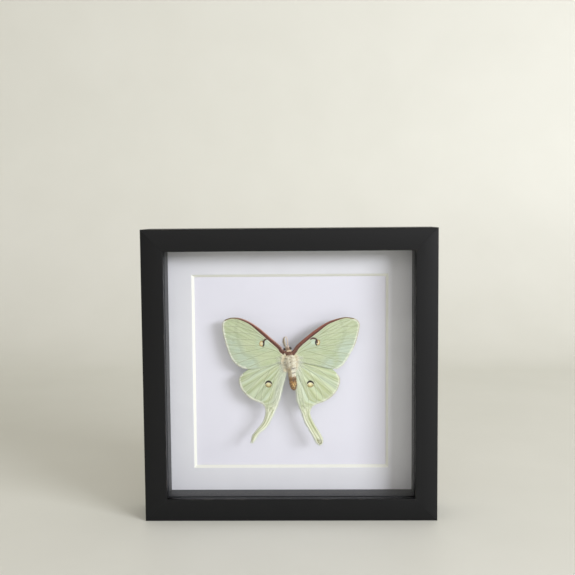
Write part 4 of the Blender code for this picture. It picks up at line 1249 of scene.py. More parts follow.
def abdomen_fur(tree, fur, clump, across, up):
    """Grey beside white with dark rings, and towards the tip gold with dark gaps and a painted highlight on
    its right side.
    """
    rings = [(up.band(ring, 0.22, 0.3) * across.rising(-0.4, 0.6) * 0.75, 86, 66, 54)
             for ring in DARK_RINGS]
    pale = over(tree.mix(across.rising(-0.4, 0.4), fur["grey"], fur["white"]), *rings)
    # A painted highlight on the gold's right side.
    painted_highlight = across.band(0.8, 0.7, 1.2) * up.band(-26.0, 1.4, 1.6)
    gold = over(fur["gold"],
                (painted_highlight * 0.85, 255, 222, 150),
                (clump.rising(0.47, 0.53) * 0.9, 92, 56, 24),
                (up.band(-20.6, 0.8, 1.0) * 0.5, 116, 76, 38),
                (up.band(-28.6, 0.5, 0.8) * 0.6, 140, 96, 52))
    return tree.mix((up + (clump - 0.5) * 8).falling(-19.4, -18.4), pale, gold)


def tufted(tree, base, up):
    """Some tufts darker and some paler, most of all on the thorax, and every lock darker at its root."""
    tint = tree.attribute("tint")
    woolly = up.band(-10.5, 8.5, 1.5) * 0.3 + 0.05
    return over(base,
                (tint.falling(0.0, 0.3) * 0.2, 150, 120, 84),
                (tint.rising(0.5, 1.0) * woolly, 255, 252, 244),
                (tree.attribute("along").falling(0.0, 0.35) * 0.15, 150, 118, 84))


def body_finish(name, is_fur):
    """The body's colours from its tip up to the crown, with borders that wander a little."""
    material, tree, place = new_material(name)
    x, y, z = tree.parts(place)
    x, z = x - float(BODY_CENTRE[0]), z - float(BODY_CENTRE[2])
    wobble = tree.noise(place, 0.7, 3, 0.6)
    fine = tree.noise(place, 2.5, 2, 0.6)
    clump = tree.noise(place, 0.8, 2, 0.5)
    across = x * math.cos(LEAN) + z * math.sin(LEAN) + (wobble - 0.5) * 0.9
    up = z * math.cos(LEAN) - x * math.sin(LEAN) + (wobble - 0.5) * 1.1
    front = y.falling(float(BODY_CENTRE[1]) - 1.5, float(BODY_CENTRE[1]) + 1.5)
    fur = {word: tree.mix(fine, colour(*deep), colour(*light))
           for word, (deep, light) in FUR_COLOURS.items()}
    abdomen = tree.mix(front, fur["belly"], abdomen_fur(tree, fur, clump, across, up))
    base = tree.mix(up.falling(-12.0, -10.4), thorax_wool(tree, fur, clump, across), abdomen)
    maroon = over(fur["maroon"], (clump.rising(0.48, 0.58) * 0.6, 70, 38, 26))
    base = tree.mix(up.rising(-1.6, -1.0), base, maroon)
    base = tree.mix(up.rising(1.35, 1.75), base, fur["cream"])
    base = tree.mix(up.rising(2.3, 2.9) * 0.9, base, fur["crown"])
    if is_fur:
        base = tufted(tree, base, up)
    return finish(material, tree, base, 0.8, fine, 0.05, Sheen_Weight=0.5, Sheen_Roughness=0.5,
                  Specular_IOR_Level=0.25)


skin_mesh.materials.append(body_finish("body_skin", False))
fur_finish = body_finish("body_fur", True)
ready(skin, "cream_fur", "head", "collar", "thorax", "abdomen")
print("body finishes", len([material for material in bpy.data.materials if "body" in material.name]))

# %% [markdown]
# ## One lock, planted many times
#
# Fur made of loose hairs would be too heavy and would not survive an export, so it is made of small solid
# locks, each a few tapered strands that spread and curl a little. A few different ones are enough, because
# each gets its own turn, size and tint where it is planted.

# %% Model the locks
LOCK_KINDS = 4
LOCK_ROOT = (0.12, 0.28)
STRAND_THICK, STRAND_SIDES = 0.2, 3


def lock_mesh(name, seed, strands, steps, curl, spread):
    """Closed tapered strands of length 1 up Z, one unit wide, that curl towards -X."""
    draw = np.random.default_rng(seed)
    points, faces, along, places = [], [], [], []
    for strand in range(strands):
        turn = 2 * math.pi * (strand + draw.random() * 0.6) / strands
        root = np.array((math.cos(turn), math.sin(turn))) * LOCK_ROOT
        lean = np.array((draw.normal(0, 0.15), math.sin(turn) * spread + draw.normal(0, 0.12)))
        reach = 0.8 + 0.2 * draw.random()
        sway = draw.normal(0, 0.1)
        first = len(points)
        for step in range(steps):
            t = step / steps
            middle = root + lean * t + (-curl * t * t, sway * math.sin(math.pi * t))
            thick = STRAND_THICK * (1 - t) ** 0.75 * (1 + 0.5 * t)
            for side in range(STRAND_SIDES):
                angle = 2 * math.pi * side / STRAND_SIDES + turn
                points.append((middle[0] + thick * math.cos(angle), middle[1] + thick * math.sin(angle),
                               t * reach))
                along.append(t)
                places.append((middle[1] / 2 + 0.5, t, 0))
        tip = len(points)
        end = root + lean - (curl, 0)
        points.append((*end, reach))
        along.append(1)
        places.append((0.5, 1, 0))
        faces.append([first + side for side in reversed(range(STRAND_SIDES))])
        for step in range(steps):
            low = first + step * STRAND_SIDES
            for side in range(STRAND_SIDES):
                near, far = low + side, low + (side + 1) % STRAND_SIDES
                above = [tip] if step == steps - 1 else [far + STRAND_SIDES, near + STRAND_SIDES]
                faces.append([near, far, *above])
    mesh = bpy.data.meshes.new(name)
    mesh.from_pydata(points, [], faces)
    mesh.shade_smooth()
    keep(mesh, "along", along)
    keep(mesh, "lock_at", places)
    return mesh


def lock_set(name, strands, steps, curl, spread):
    """A few different locks in a collection that isn't shown itself."""
    shelf = bpy.data.collections.new(name)
    for kind in range(LOCK_KINDS):
        lock = lock_mesh(f"{name}_{kind}", kind + 1, strands, steps, curl, spread)
        shelf.objects.link(bpy.data.objects.new(lock.name, lock))
    return shelf


wool_locks = lock_set("wool_lock", 4, 4, 0.9, 0.7)
short_locks = lock_set("short_lock", 3, 3, 0.5, 0.5)
silk_locks = lock_set("silk_lock", 3, 4, 0.3, 1.2)

# %% [markdown]
# ## The tree that plants them
#
# Each hair of a real coat sits in a socket of its own, so no two are too close. Points could be scattered
# by a script, but Geometry Nodes have a spreading that keeps them apart. The surface says where locks grow,
# which way they lie and how long they are, so one tree does for body, wings and legs. Every lock keeps its
# root's place on the skin's unwrap, as a tiny patch of a UV map, so that colours can be baked onto it.

# %% The planting tree
PATCH = 0.003
TRIES = 3.5
INPUTS = (("Skin", "Geometry"), ("Locks", "Collection"), ("Finish", "Material"), ("Spacing", "Float"),
          ("Length", "Float"), ("Width", "Float"), ("Lift", "Float"), ("Stray", "Float"), ("Vary", "Float"),
          ("Seed", "Int"))


def geometry_group(name, inputs, output):
    """An empty tree of Geometry Nodes with named inputs, and the value of each input."""
    group = bpy.data.node_groups.new(name, "GeometryNodeTree")
    for word, kind in inputs:
        group.interface.new_socket(name=word, in_out="INPUT", socket_type=f"NodeSocket{kind}")
    group.interface.new_socket(name=output, in_out="OUTPUT", socket_type="NodeSocketGeometry")
    tree = Tree(group)
    entry = tree.nodes.new("NodeGroupInput")
    return group, tree, {word: Value(tree, entry.outputs[word]) for word, _ in inputs}


def grown(obj, group, values):
    """Runs a tree on an object's mesh with these inputs, and keeps the plain mesh that comes out."""
    step = obj.modifiers.new(group.name, "NODES")
    step.node_group = group
    for item in group.interface.items_tree:
        if item.name in values:
            step[item.identifier] = values[item.name]
    return applied(obj)


def lock_turn(tree, given, stray):
    """Each lock's turn: along the coat, lifted off the skin and a little astray."""
    away = tree.kept("away", "FLOAT_VECTOR")
    aim = tree.vector("ADD", tree.scaled(tree.kept("lie", "FLOAT_VECTOR"), 1 - given["Lift"]),
                      tree.scaled(away, given["Lift"]))
    aim = tree.vector("ADD", aim, tree.scaled(stray, given["Stray"]))
    return tree.node("FunctionNodeAxesToRotation", {"primary_axis": "Z", "secondary_axis": "X"},
                     {"Primary Axis": aim, "Secondary Axis": away})


def planting_tree():
    """Plants locks on a surface. Its inputs are sizes in metres and shares from 0 to 1."""
    group, tree, given = geometry_group("plant_locks", INPUTS, "Coat")

    def random(low, high, draw, kind="FLOAT"):
        return tree.random(low, high, given["Seed"] + draw, kind)

    dense = tree.math("DIVIDE", TRIES, given["Spacing"] * given["Spacing"])
    spread = {"Mesh": given["Skin"], "Distance Min": given["Spacing"], "Density Max": dense,
              "Density Factor": tree.kept("cover"), "Seed": given["Seed"]}
    poisson = {"distribute_method": "POISSON"}
    points = tree.node("GeometryNodeDistributePointsOnFaces", poisson, spread, "Points")
    stray = random((-1, -1, -1), (1, 1, 1), 1, "FLOAT_VECTOR")
    length = given["Length"] * (random(1 - given["Vary"], 1 + given["Vary"], 2) * tree.kept("size"))
    width = given["Width"] * random(0.8, 1.2, 3)
    shelf = {"Collection": given["Locks"], "Separate Children": True, "Reset Children": True}
    planted = {"Points": points, "Instance": tree.node("GeometryNodeCollectionInfo", None, shelf),
               "Pick Instance": True, "Instance Index": random(0, LOCK_KINDS - 1, 4, "INT"),
               "Rotation": lock_turn(tree, given, stray), "Scale": tree.joined(width, width, length)}
    locks = tree.node("GeometryNodeInstanceOnPoints", None, planted, "Instances")
    tinted = {"Geometry": locks, "Name": "tint", "Value": random(0.0, 1.0, 5)}
    each = {"data_type": "FLOAT", "domain": "INSTANCE"}
    locks = tree.node("GeometryNodeStoreNamedAttribute", each, tinted)
    coat = tree.node("GeometryNodeRealizeInstances", None, {"Geometry": locks})
    patch = tree.vector("SUBTRACT", tree.kept("lock_at", "FLOAT_VECTOR"), (0.5, 0.5, 0.0))
    at = tree.vector("ADD", tree.kept("skin_map", "FLOAT_VECTOR"), tree.scaled(patch, PATCH))
    mapped = {"Geometry": coat, "Name": "OFBake", "Value": at}
    flat = {"data_type": "FLOAT2", "domain": "CORNER"}
    coat = tree.node("GeometryNodeStoreNamedAttribute", flat, mapped)
    coat = tree.node("GeometryNodeSetMaterial", None, {"Geometry": coat, "Material": given["Finish"]})
    tree.link(coat, tree.nodes.new("NodeGroupOutput").inputs["Coat"])
    return group


planting = planting_tree()


def plant(name, source, shelf, material, **coat):
    """A coat of locks on a copy of the source mesh. Spacing, length and width are in millimetres."""
    obj = add_object(name, source.copy())
    for word in ("spacing", "length", "width"):
        coat[word] *= MM
    inputs = {word.title(): value for word, value in coat.items()}
    mesh = grown(obj, planting, {"Locks": shelf, "Finish": material, **inputs})
    for word in ("lock_at", "skin_map", "cover", "lie", "away", "size"):
        if word in mesh.attributes:
            mesh.attributes.remove(mesh.attributes[word])
    print(name, sum(len(face.vertices) - 2 for face in mesh.polygons), "triangles")
    return obj


print("planting tree", len(planting.nodes), "nodes")

# %% [markdown]
# ## The coat of the body
#
# The thorax is woolly, with long locks that stand up a little; the abdomen's fur is shorter and lies flat,
# longest at the back of each ring; the collar's is short and dense, and the head's is the shortest. All of
# it lies back towards the abdomen's tip, except on the face, where it lies forwards and down. Each region
# is planted on its own, because a lock that suits the thorax would swallow the head.

# %% Plant the coat
EYE_CLEAR = 1.15
FACE_FROM, FACE_FULL = 3.4, 4.6
TIP_SIZES = ((-31, 0.45), (-28, 1), (20, 1))
COATS = {
    "head": ("cream_fur", short_locks, dict(spacing=0.17, length=0.75, width=0.3, lift=0.4, stray=0.25)),
    "collar": ("maroon_fur", short_locks, dict(spacing=0.2, length=1.15, width=0.36, lift=0.42, stray=0.18)),
    "thorax": ("cream_fur", wool_locks, dict(spacing=0.38, length=2.5, width=0.85, lift=0.42, stray=0.4)),
    "abdomen": ("golden_fur", short_locks,
                dict(spacing=0.29, length=1.35, width=0.42, lift=0.3, stray=0.12)),
}


def lie_on_body(points, away):
    """Which way the coat lies: back along the body, and outwards from the crown on the face."""
    face = smooth_step(points[:, 2], FACE_FROM, FACE_FULL)[:, None]
    back = np.array((0, 0, -1.0))
    outward = np.column_stack((points[:, 0] - HEAD_SIDE, points[:, 1], np.zeros(len(points))))
    outward /= np.maximum(np.linalg.norm(outward, axis=1), 1e-6)[:, None]
    aim = (back * (1 - face) + outward * face) @ BODY_AXES
    aim -= away * np.sum(aim * away, axis=1)[:, None]
    return aim / np.maximum(np.linalg.norm(aim, axis=1), 1e-6)[:, None]


away = read(skin_mesh.vertices, "normal", 3)
keep(skin_mesh, "away", away)
keep(skin_mesh, "lie", lie_on_body(skin_points, away))
phase = ring_phase(skin_points[:, 2]) % 1
ringed = np.where(skin_points[:, 2] < ABDOMEN_TOP - 1, 0.75 + 0.5 * phase, 1)
keep(skin_mesh, "size", ringed * np.interp(skin_points[:, 2], *np.transpose(TIP_SIZES)))
near_eye = np.min([np.linalg.norm(skin_points - (HEAD_SIDE + side * EYE_OUT, -EYE_FORWARD, HEAD_UP), axis=1)
                   for side in SIDE_WORDS], axis=0)
up = skin_points[:, 2]
for seed, (region, (slot, shelf, coat)) in enumerate(COATS.items(), 3):
    low, high = REGION_EDGES[region]
    keep(skin_mesh, "cover", ((up > low) & (up <= high) & (near_eye > EYE_CLEAR)).astype(float))
    ready(plant(f"coat_{region}", skin_mesh, shelf, fur_finish, **coat, vary=0.3, seed=seed), slot, region)

# %% [markdown]
# ## Hair on the wings
#
# Long white hair spreads from the thorax over the roots of all four wings and down the inner edges of the
# hindwings, on both faces. The thorax's wool reaches a little over each root too, and short maroon fur
# covers the forewing's front edge close to the body. The same tree plants them, this time on the wings'
# own sheets: they grow only where the distance to the root or to an edge is small.

# %% Kinds of hair and where they grow
MAP_MIDDLE, MAP_SIDE = (0, -22), 120
SILK_COAT = dict(spacing=0.4, length=4.2, width=0.15, lift=0.035, stray=0.04, vary=0.35, seed=11)
SHOULDER_COAT = dict(spacing=0.4, length=2.3, width=0.6, lift=0.14, stray=0.3, vary=0.35, seed=13)
COSTA_COAT = dict(spacing=0.26, length=1.2, width=0.26, lift=0.06, stray=0.12, vary=0.35, seed=14)
SILK_OUT, SILK_BELOW = (1.0, 6.5), (-3, -1.5)
INNER_OUT, INNER_ABOVE, INNER_DENSE = (0.5, 5.5), (-46, -32), 0.7
SHOULDER_START, SHOULDER_END, SHOULDER_CLEAR = 1.5, {-1: 4.0, 1: 2.1}, (2.4, 3.2)
COSTA_OUT, COSTA_FUR = (5, 16), 2.5


def map_flat(mesh):
    """A flat unwrap for a wing's sheet, which is nearly flat itself."""
    places = read(mesh.vertices, "co", 3) / MM - (MOTH[0], 0, MOTH[2])
    corners = read(mesh.loops, "vertex_index", kind=np.int32)
    flat = (places[:, (0, 2)] - MAP_MIDDLE) / MAP_SIDE + 0.5
    mesh.uv_layers.new(name="skin_map").data.foreach_set("uv", np.float32(flat[corners]).ravel())
    return places[:, (0, 2)]


def kept(mesh, word):
    """The numbers that a mesh's corners keep under a word."""
    return read(mesh.attributes[word].data, "value")


def hair_finish(name, pale, deep):
    """Silky hair: paler towards its tips, each lock with its own tint."""
    material, tree, place = new_material(name)
    tint = tree.attribute("tint")
    base = tree.mix(tree.attribute("along").rising(0, 0.9), deep, pale)
    base = tree.mix(tint * 0.35, base, deep)
    fine = tree.noise(place, 3, 2, 0.6)
    return finish(material, tree, base, 0.7 + fine * 0.2, fine, 0.03, Sheen_Weight=0.3, Sheen_Roughness=0.4)


def silk_cover(kind, sheet, flat, root):
    """Where silk grows: near the root, and on a hindwing down its inner edge."""
    cover = 1 - smooth_step(root, *SILK_OUT)
    if kind == "forewing":
        return cover * (1 - smooth_step(flat[:, 1], *SILK_BELOW))
    down_inner = 1 - smooth_step(kept(sheet, "inner"), *INNER_OUT)
    return np.maximum(cover, down_inner * smooth_step(flat[:, 1], *INNER_ABOVE) * INNER_DENSE)


def shoulder_cover(sheet, root, side):
    """Where the thorax's wool reaches over a wing's root: further on the left, never on the front edge."""
    reach = 1 - smooth_step(root, SHOULDER_START, SHOULDER_END[side])
    return reach * smooth_step(kept(sheet, "front"), *SHOULDER_CLEAR)


def costa_cover(sheet, root):
    """Where maroon fur grows: on a forewing's front edge, near the body."""
    return (1 - smooth_step(root, *COSTA_OUT)) * (kept(sheet, "front") < COSTA_FUR)


def wing_hair(kind, side):
    """Silk, wool and, on a forewing, maroon fur, on one wing's front and on its back."""
    name = f"{kind}_{SIDE_WORDS[side]}"
    sheet = sheets[name][0].copy()
    flat = map_flat(sheet)
    root = kept(sheet, "root")
    kinds = [("hair", silk_locks, silk, silk_cover(kind, sheet, flat, root), SILK_COAT),
             ("shoulder", wool_locks, wool, shoulder_cover(sheet, root, side), SHOULDER_COAT)]
    if kind == "forewing":
        kinds.append(("costa_fur", short_locks, costa_hair, costa_cover(sheet, root), COSTA_COAT))
    keep(sheet, "size", 0.55 + 0.6 * (1 - smooth_step(root, 0, 9)))
    keep(sheet, "lie", np.column_stack((kept(sheet, "lie_x"), np.zeros(len(root)), kept(sheet, "lie_z"))))
    for face, toward in (("front", -1.0), ("back", 1.0)):
        keep(sheet, "away", np.tile((0, toward, 0), (len(root), 1)))
        for word, shelf, material, cover, coat in kinds:
            keep(sheet, "cover", cover)
            ready(plant(f"{word}_{name}_{face}", sheet, shelf, material, **coat), "green_wing", name)


silk = hair_finish("wing_silk", colour(252, 252, 242), colour(232, 235, 216))
wool = hair_finish("shoulder_wool", colour(255, 252, 240), colour(222, 208, 180))
costa_hair = hair_finish("costa_fur", colour(158, 98, 76), colour(82, 42, 30))
cream_fringe = hair_finish("cream_fringe", colour(246, 245, 230), colour(226, 224, 196))
white_fringe = hair_finish("white_fringe", colour(242, 243, 232), colour(206, 214, 190))
print("hair and fringe finishes ready")

# %% [markdown]
# ## Fringes on the wings' edges
#
# A wing's edge carries a row of long scales that point outwards, so it looks powdery and not cut with
# scissors. Locks do for them too, but they would grow from the sheet's face there. So each run of the edge
# gets a narrow ribbon, and the locks are planted on it and lie outwards. The ribbon itself is left out.

# %% Plant the wings' hair and fringes
RIBBON = 0.3
FRINGE_COAT = dict(spacing=0.2, width=0.26, lift=0.0, stray=0.16, vary=0.35, seed=12)
FRINGES = {
    "forewing": ((1, "outer", short_locks, cream_fringe, 0.7), (2, "hind", short_locks, white_fringe, 0.6)),
    "hindwing": ((1, "outer", short_locks, cream_fringe, 0.7), (2, "tail", short_locks, cream_fringe, 0.55),
                 (3, "inner", silk_locks, white_fringe, 1.5)),
}


def edge_ribbon(line, out, kind, side):
    """A narrow strip from a run of the wing's edge inwards, at the height of the sheet."""
    layer = WING_LAYER if kind == "forewing" else -WING_LAYER
    rows = []
    for inset in (0, RIBBON):
        spot = line - out * inset
        rise = wing_rise(spot[:, 0], spot[:, 1], side) + layer
        if kind == "hindwing":
            rise -= TAIL_FOLD * smooth_step(-spot[:, 1], TAIL_FROM, TAIL_FULL)
        rows.append(np.column_stack((side * spot[:, 0], spot[:, 1], rise)))
    count = len(line)
    faces = [(index, index + 1, count + index + 1, count + index) for index in range(count - 1)]
    ribbon = bpy.data.meshes.new("ribbon")
    ribbon.from_pydata(moth_places(np.vstack(rows)).tolist(), [], faces)
    return ribbon


def fringe(kind, side, run, word, shelf, material, length):
    """Locks that stand out from one run of a wing's edge, in waves of longer and shorter ones."""
    name = f"{kind}_{SIDE_WORDS[side]}"
    line = sheets[name][1][run]
    out = across_line(line)
    count = len(line)
    ribbon = edge_ribbon(line, out, kind, side)
    map_flat(ribbon)
    lie = np.column_stack((side * out[:, 0], np.zeros(count), out[:, 1]))
    wave = 0.75 + 0.25 * np.sin(np.arange(count) * 0.9) * np.sin(np.arange(count) * 0.37)
    keep(ribbon, "lie", np.vstack((lie, lie)))
    keep(ribbon, "away", np.tile((0, -1.0, 0), (2 * count, 1)))
    keep(ribbon, "size", np.tile(wave, 2))
    keep(ribbon, "cover", np.ones(2 * count))
    piece = plant(f"fringe_{name}_{word}", ribbon, shelf, material, length=length, **FRINGE_COAT)
    ready(piece, "green_wing", name)


for side in SIDE_WORDS:
    wing_hair("forewing", side)
    wing_hair("hindwing", side)
    for kind, runs in FRINGES.items():
        for run in runs:
            fringe(kind, side, *run)

# %% [markdown]
# ## Eyes and palps
#
# A moth's eye is a dark ball of thousands of tiny facets. A cell pattern as a bump gives the facets, and a
# smooth clear coat gives the wet highlight over them. The palps are two furry stubs in front of the mouth.

# %% Make eyes and palps
EYE_AROUND = 48
FACET_SIZE = 0.11
PALP_APART, PALP_DROP, PALP_LENGTH = 1.3, 1.25, 1.1
PALP_SUNK, PALP_ROUND, PALP_HALF, PALP_RINGS, PALP_SIDES = 0.3, 0.15, 0.36, 9, 12
PALP_COAT = dict(spacing=0.14, length=0.5, width=0.16, lift=0.25, stray=0.2, vary=0.3, seed=21)


def eye_finish():
    material, tree, place = new_material("eye_facets")
    cells = tree.node("ShaderNodeTexVoronoi", None, {"Vector": place, "Scale": 1 / FACET_SIZE}, "Distance")
    cloud = tree.noise(place, 1.1, 3, 0.6)
    base = over(tree.mix(cloud, colour(24, 16, 14), colour(52, 34, 28)),
                (cells.rising(0.45, 0.8) * 0.6, 12, 8, 8))
    return finish(material, tree, base, 0.22 + cells * 0.1, 1 - cells, 0.012, Coat_Weight=0.6,
                  Coat_Roughness=0.08)


def ball(name, centre, radius):
    """A round ball in the body's own frame."""
    bm = bmesh.new()
    bmesh.ops.create_uvsphere(bm, u_segments=EYE_AROUND, v_segments=EYE_AROUND * 2 // 3, radius=radius)
    points = np.array([vert.co for vert in bm.verts]) + centre
    for vert, place in zip(bm.verts, body_places(points)):
        vert.co = place
    bmesh.ops.recalc_face_normals(bm, faces=bm.faces)
    mesh = bpy.data.meshes.new(name)
    bm.to_mesh(mesh)
    bm.free()
    mesh.shade_smooth()
    return mesh


def heading(line):
    """Which way a line runs at each of its points."""
    along = np.gradient(line, axis=0)
    return along / np.linalg.norm(along, axis=1)[:, None]


def tube(name, line, radii, sides):
    """A closed tube through points in metres, with an unwrap and the way its coat would lie."""
    line, radii = np.array(line), np.array(radii)
    along = heading(line)
    across = np.cross(along, (0.0, 0.35, 1.0))
    across /= np.linalg.norm(across, axis=1)[:, None]
    up = np.cross(across, along)
    turns = np.linspace(0, 2 * math.pi, sides, endpoint=False)
    points, lie = [], []
    for spot, one, other, radius, way in zip(line, across, up, radii, along):
        points += [spot + radius * (math.cos(turn) * one + math.sin(turn) * other) for turn in turns]
        lie += [way] * sides
    faces, maps = [], []
    rings = len(line)
    for ring in range(rings - 1):
        for side in range(sides):
            places = ((side, ring), (side + 1, ring), (side + 1, ring + 1), (side, ring + 1))
            faces.append([row * sides + step % sides for step, row in places])
            maps += [(step / sides, row / rings) for step, row in places]
    for ring, order in ((0, range(sides)[::-1]), (rings - 1, range(sides))):
        faces.append([ring * sides + side for side in order])
        maps += [(side / sides, ring / rings) for side in order]
    mesh = bpy.data.meshes.new(name)
    mesh.from_pydata([list(point) for point in points], [], faces)
    mesh.uv_layers.new(name="skin_map").data.foreach_set("uv", np.float32(maps).ravel())
    mesh.shade_smooth()
    if np.dot(mesh.polygons[0].normal, mesh.polygons[0].center - Vector(line[0])) < 0:
        mesh.flip_normals()
    keep(mesh, "away", read(mesh.vertices, "normal", 3))
    keep(mesh, "lie", lie)
    for word in ("size", "cover"):
        keep(mesh, word, np.ones(len(points)))
    return mesh


def palp_line(side):
    """A palp's middle line in metres, straight out of the face."""
    off_axis = (PALP_APART / 2 / HEAD_HALF[0]) ** 2 + (PALP_DROP / HEAD_HALF[1]) ** 2
    root = np.array((side * PALP_APART / 2, PALP_DROP, HEAD_HALF[2] * math.sqrt(1 - off_axis)))
    outward = root / np.array(HEAD_HALF) ** 2
    outward /= np.linalg.norm(outward)
    steps = np.linspace(-PALP_SUNK, PALP_LENGTH - PALP_ROUND, PALP_RINGS)
    return body_places([(HEAD_SIDE, 0, HEAD_UP) + root + outward * step for step in steps])


eye_dark = eye_finish()
swell = PALP_HALF * np.sin(math.pi * np.linspace(0.25, 0.98, PALP_RINGS)) * MM
for side, word in SIDE_WORDS.items():
    place = (HEAD_SIDE + side * EYE_OUT, -EYE_FORWARD, HEAD_UP)
    eye = add_object(f"faceted_eye_{word}", ball(f"eye_{word}", place, EYE_RADIUS), eye_dark)
    ready(eye, "eye", f"eye_{word}")
    palp_mesh = tube(f"palp_{word}", palp_line(side), swell, PALP_SIDES)
    palp = add_object(f"furry_palp_{word}", palp_mesh, fur_finish)
    ready(palp, "cream_fur", f"palp_{word}")
    coat = plant(f"coat_palp_{word}", palp.data, short_locks, fur_finish, **PALP_COAT)
    ready(coat, "cream_fur", f"palp_{word}")

# %% [markdown]
# ## Feelers
#
# A luna moth's feelers are combs: a thin shaft with two barbs to each side of every joint, longest in the
# middle. On this moth both are folded forwards. The left one shows its flat side and the right one its
# edge. The shaft is a tapered tube. Geometry Nodes put a fine barb on each joint four times, once for each
# way that a barb points, and those ways are kept with the joints.

# %% Make the feelers
FEELERS = {
    -1: (((-2.2, 4.75, 16.0), (-2.8, 5.7, 16.4), (-3.5, 7.6, 16.7), (-4.0, 10.0, 16.5), (-3.9, 12.0, 16.2),
          (-3.2, 13.4, 16.0)), math.radians(62)),
    1: (((-0.6, 4.95, 16.0), (-0.9, 5.8, 16.4), (-1.05, 8.0, 16.7), (-1.15, 10.3, 16.5), (-1.6, 12.2, 16.2),
         (-2.6, 13.6, 16.0)), math.radians(12)),
}
FEELER_THICK = {-1: (0.3, 0.16), 1: (0.54, 0.32)}
# Both feelers are the same horn: the right one's paler colours are painted light and the left one's darker
# colours painted shade.
FEELER_LIT_AND_SHADED_COLOURS = {-1: (colour(178, 156, 134), colour(214, 196, 176)),
                  1: (colour(238, 200, 180), colour(255, 240, 228))}
JOINT_STEP, JOINT_SWELL, SHAFT_SIDES = 0.22, 0.18, 10
BARB_REACH, BARB_SLANTS = 1.75, (28, 46)
BARB_WIDER = (1.1, 1.1, 1)
AIMS = 2 * len(BARB_SLANTS)
COMB_INPUTS = (("Joints", "Geometry"), ("Shaft", "Object"), ("Barb", "Object"), ("Reach", "Float"),
               ("Finish", "Material"))


def feeler_finish(side):
    """Pale horn with a fine grain, palest towards the barbs' tips."""
    material, tree, place = new_material(f"feeler_horn_{SIDE_WORDS[side]}")
    grain = tree.noise(place, 4, 3, 0.6)
    # Paler on the right feeler as painted light, darker on the left as painted shade.
    dull, bright = FEELER_LIT_AND_SHADED_COLOURS[side]
    base = over(tree.mix(grain, dull, bright),
                (tree.attribute("along").rising(0.1, 0.8) * 0.65, 234, 226, 212))
    return finish(material, tree, base, 0.55 + grain * 0.2, grain, 0.02, Sheen_Weight=0.2)


def comb_tree():
    """Puts a barb on every joint, once for each aim, and joins them with the shaft."""
    group, tree, given = geometry_group("comb", COMB_INPUTS, "Feeler")
    joints = tree.node("GeometryNodeMeshToPoints", None, {"Mesh": given["Joints"]})
    barb, shaft = [tree.node("GeometryNodeObjectInfo", None, {"Object": given[word]}, "Geometry")
                   for word in ("Barb", "Shaft")]
    join = tree.nodes.new("GeometryNodeJoinGeometry")
    tree.link(shaft, join.inputs[0])
    for aim in range(AIMS):
        axes = {"Primary Axis": tree.kept(f"aim_{aim}", "FLOAT_VECTOR"),
                "Secondary Axis": tree.kept("along_shaft", "FLOAT_VECTOR")}
        settings = {"primary_axis": "Z", "secondary_axis": "X"}
        turn = tree.node("FunctionNodeAxesToRotation", settings, axes)
        size = given["Reach"] * tree.kept("reach") * tree.random(0.88, 1.08, aim + 1)
        inputs = {"Points": joints, "Instance": barb, "Rotation": turn,
                  "Scale": tree.joined(size, size, size)}
        tree.link(tree.node("GeometryNodeInstanceOnPoints", None, inputs, "Instances"), join.inputs[0])
    whole = tree.node("GeometryNodeRealizeInstances", None, {"Geometry": Value(tree, join.outputs[0])})
    whole = tree.node("GeometryNodeSetMaterial", None, {"Geometry": whole, "Material": given["Finish"]})
    tree.link(whole, tree.nodes.new("NodeGroupOutput").inputs[0])
    return group


def feeler_joints(points, turn):
    """The joints as loose points, each with its four aims and how long its barbs are."""
    line = moth_places(curve_through(points, JOINT_STEP))
    along = heading(line)
    mesh = bpy.data.meshes.new("joints")
    mesh.from_pydata(line.tolist(), [], [])
    aims = []
    for side in (-1, 1):
        for slant in BARB_SLANTS:
            aim = []
            for way in along:
                comb = Matrix.Rotation(turn, 3, Vector(way)) @ Vector((0, side, 0))
                spread = np.array(comb) - way * np.dot(comb, way)
                spread /= np.linalg.norm(spread)
                aim.append(way * math.sin(math.radians(slant)) + spread * math.cos(math.radians(slant)))
            aims.append(aim)
    for index, aim in enumerate(aims):
        keep(mesh, f"aim_{index}", aim)
    keep(mesh, "along_shaft", along)
    share = np.linspace(0, 1, len(line))
    keep(mesh, "reach", np.sin(math.pi * (0.1 + 0.84 * share)) ** 0.8)
    return mesh, line


combing = comb_tree()
barb_lock = lock_mesh("barb", 3, 1, 4, 0.12, 0.0)
barb_points = np.array([vert.co for vert in barb_lock.vertices]) * BARB_WIDER
barb_lock.vertices.foreach_set("co", np.float32(barb_points).ravel())
barb_object = bpy.data.objects.new("barb", barb_lock)
for side, (points, turn) in FEELERS.items():
    joints, line = feeler_joints(points, turn)
    swells = 1 + JOINT_SWELL * np.cos(np.arange(len(line)) * math.pi)
    radii = np.linspace(*FEELER_THICK[side], len(line)) * swells * MM
    shaft = bpy.data.objects.new("shaft", tube("shaft", line, radii, SHAFT_SIDES))
    feeler = add_object(f"feathered_feeler_{SIDE_WORDS[side]}", joints)
    grown(feeler, combing, {"Shaft": shaft, "Barb": barb_object, "Reach": BARB_REACH * MM,
                            "Finish": feeler_finish(side)})
    ready(feeler, "feeler", f"feeler_{SIDE_WORDS[side]}")
    print(feeler.name, len(feeler.data.polygons), "faces")

# %% [markdown]
# ## Legs
#
# A pinned moth's legs are folded under its thorax, where only the back of the model shows them. They are
# thin and furry, with thicker thighs, a bulge at the knee and a foot of five small joints. Each is a tube
# whose radius follows a table along its length, and short locks cover it, shortest on the foot.

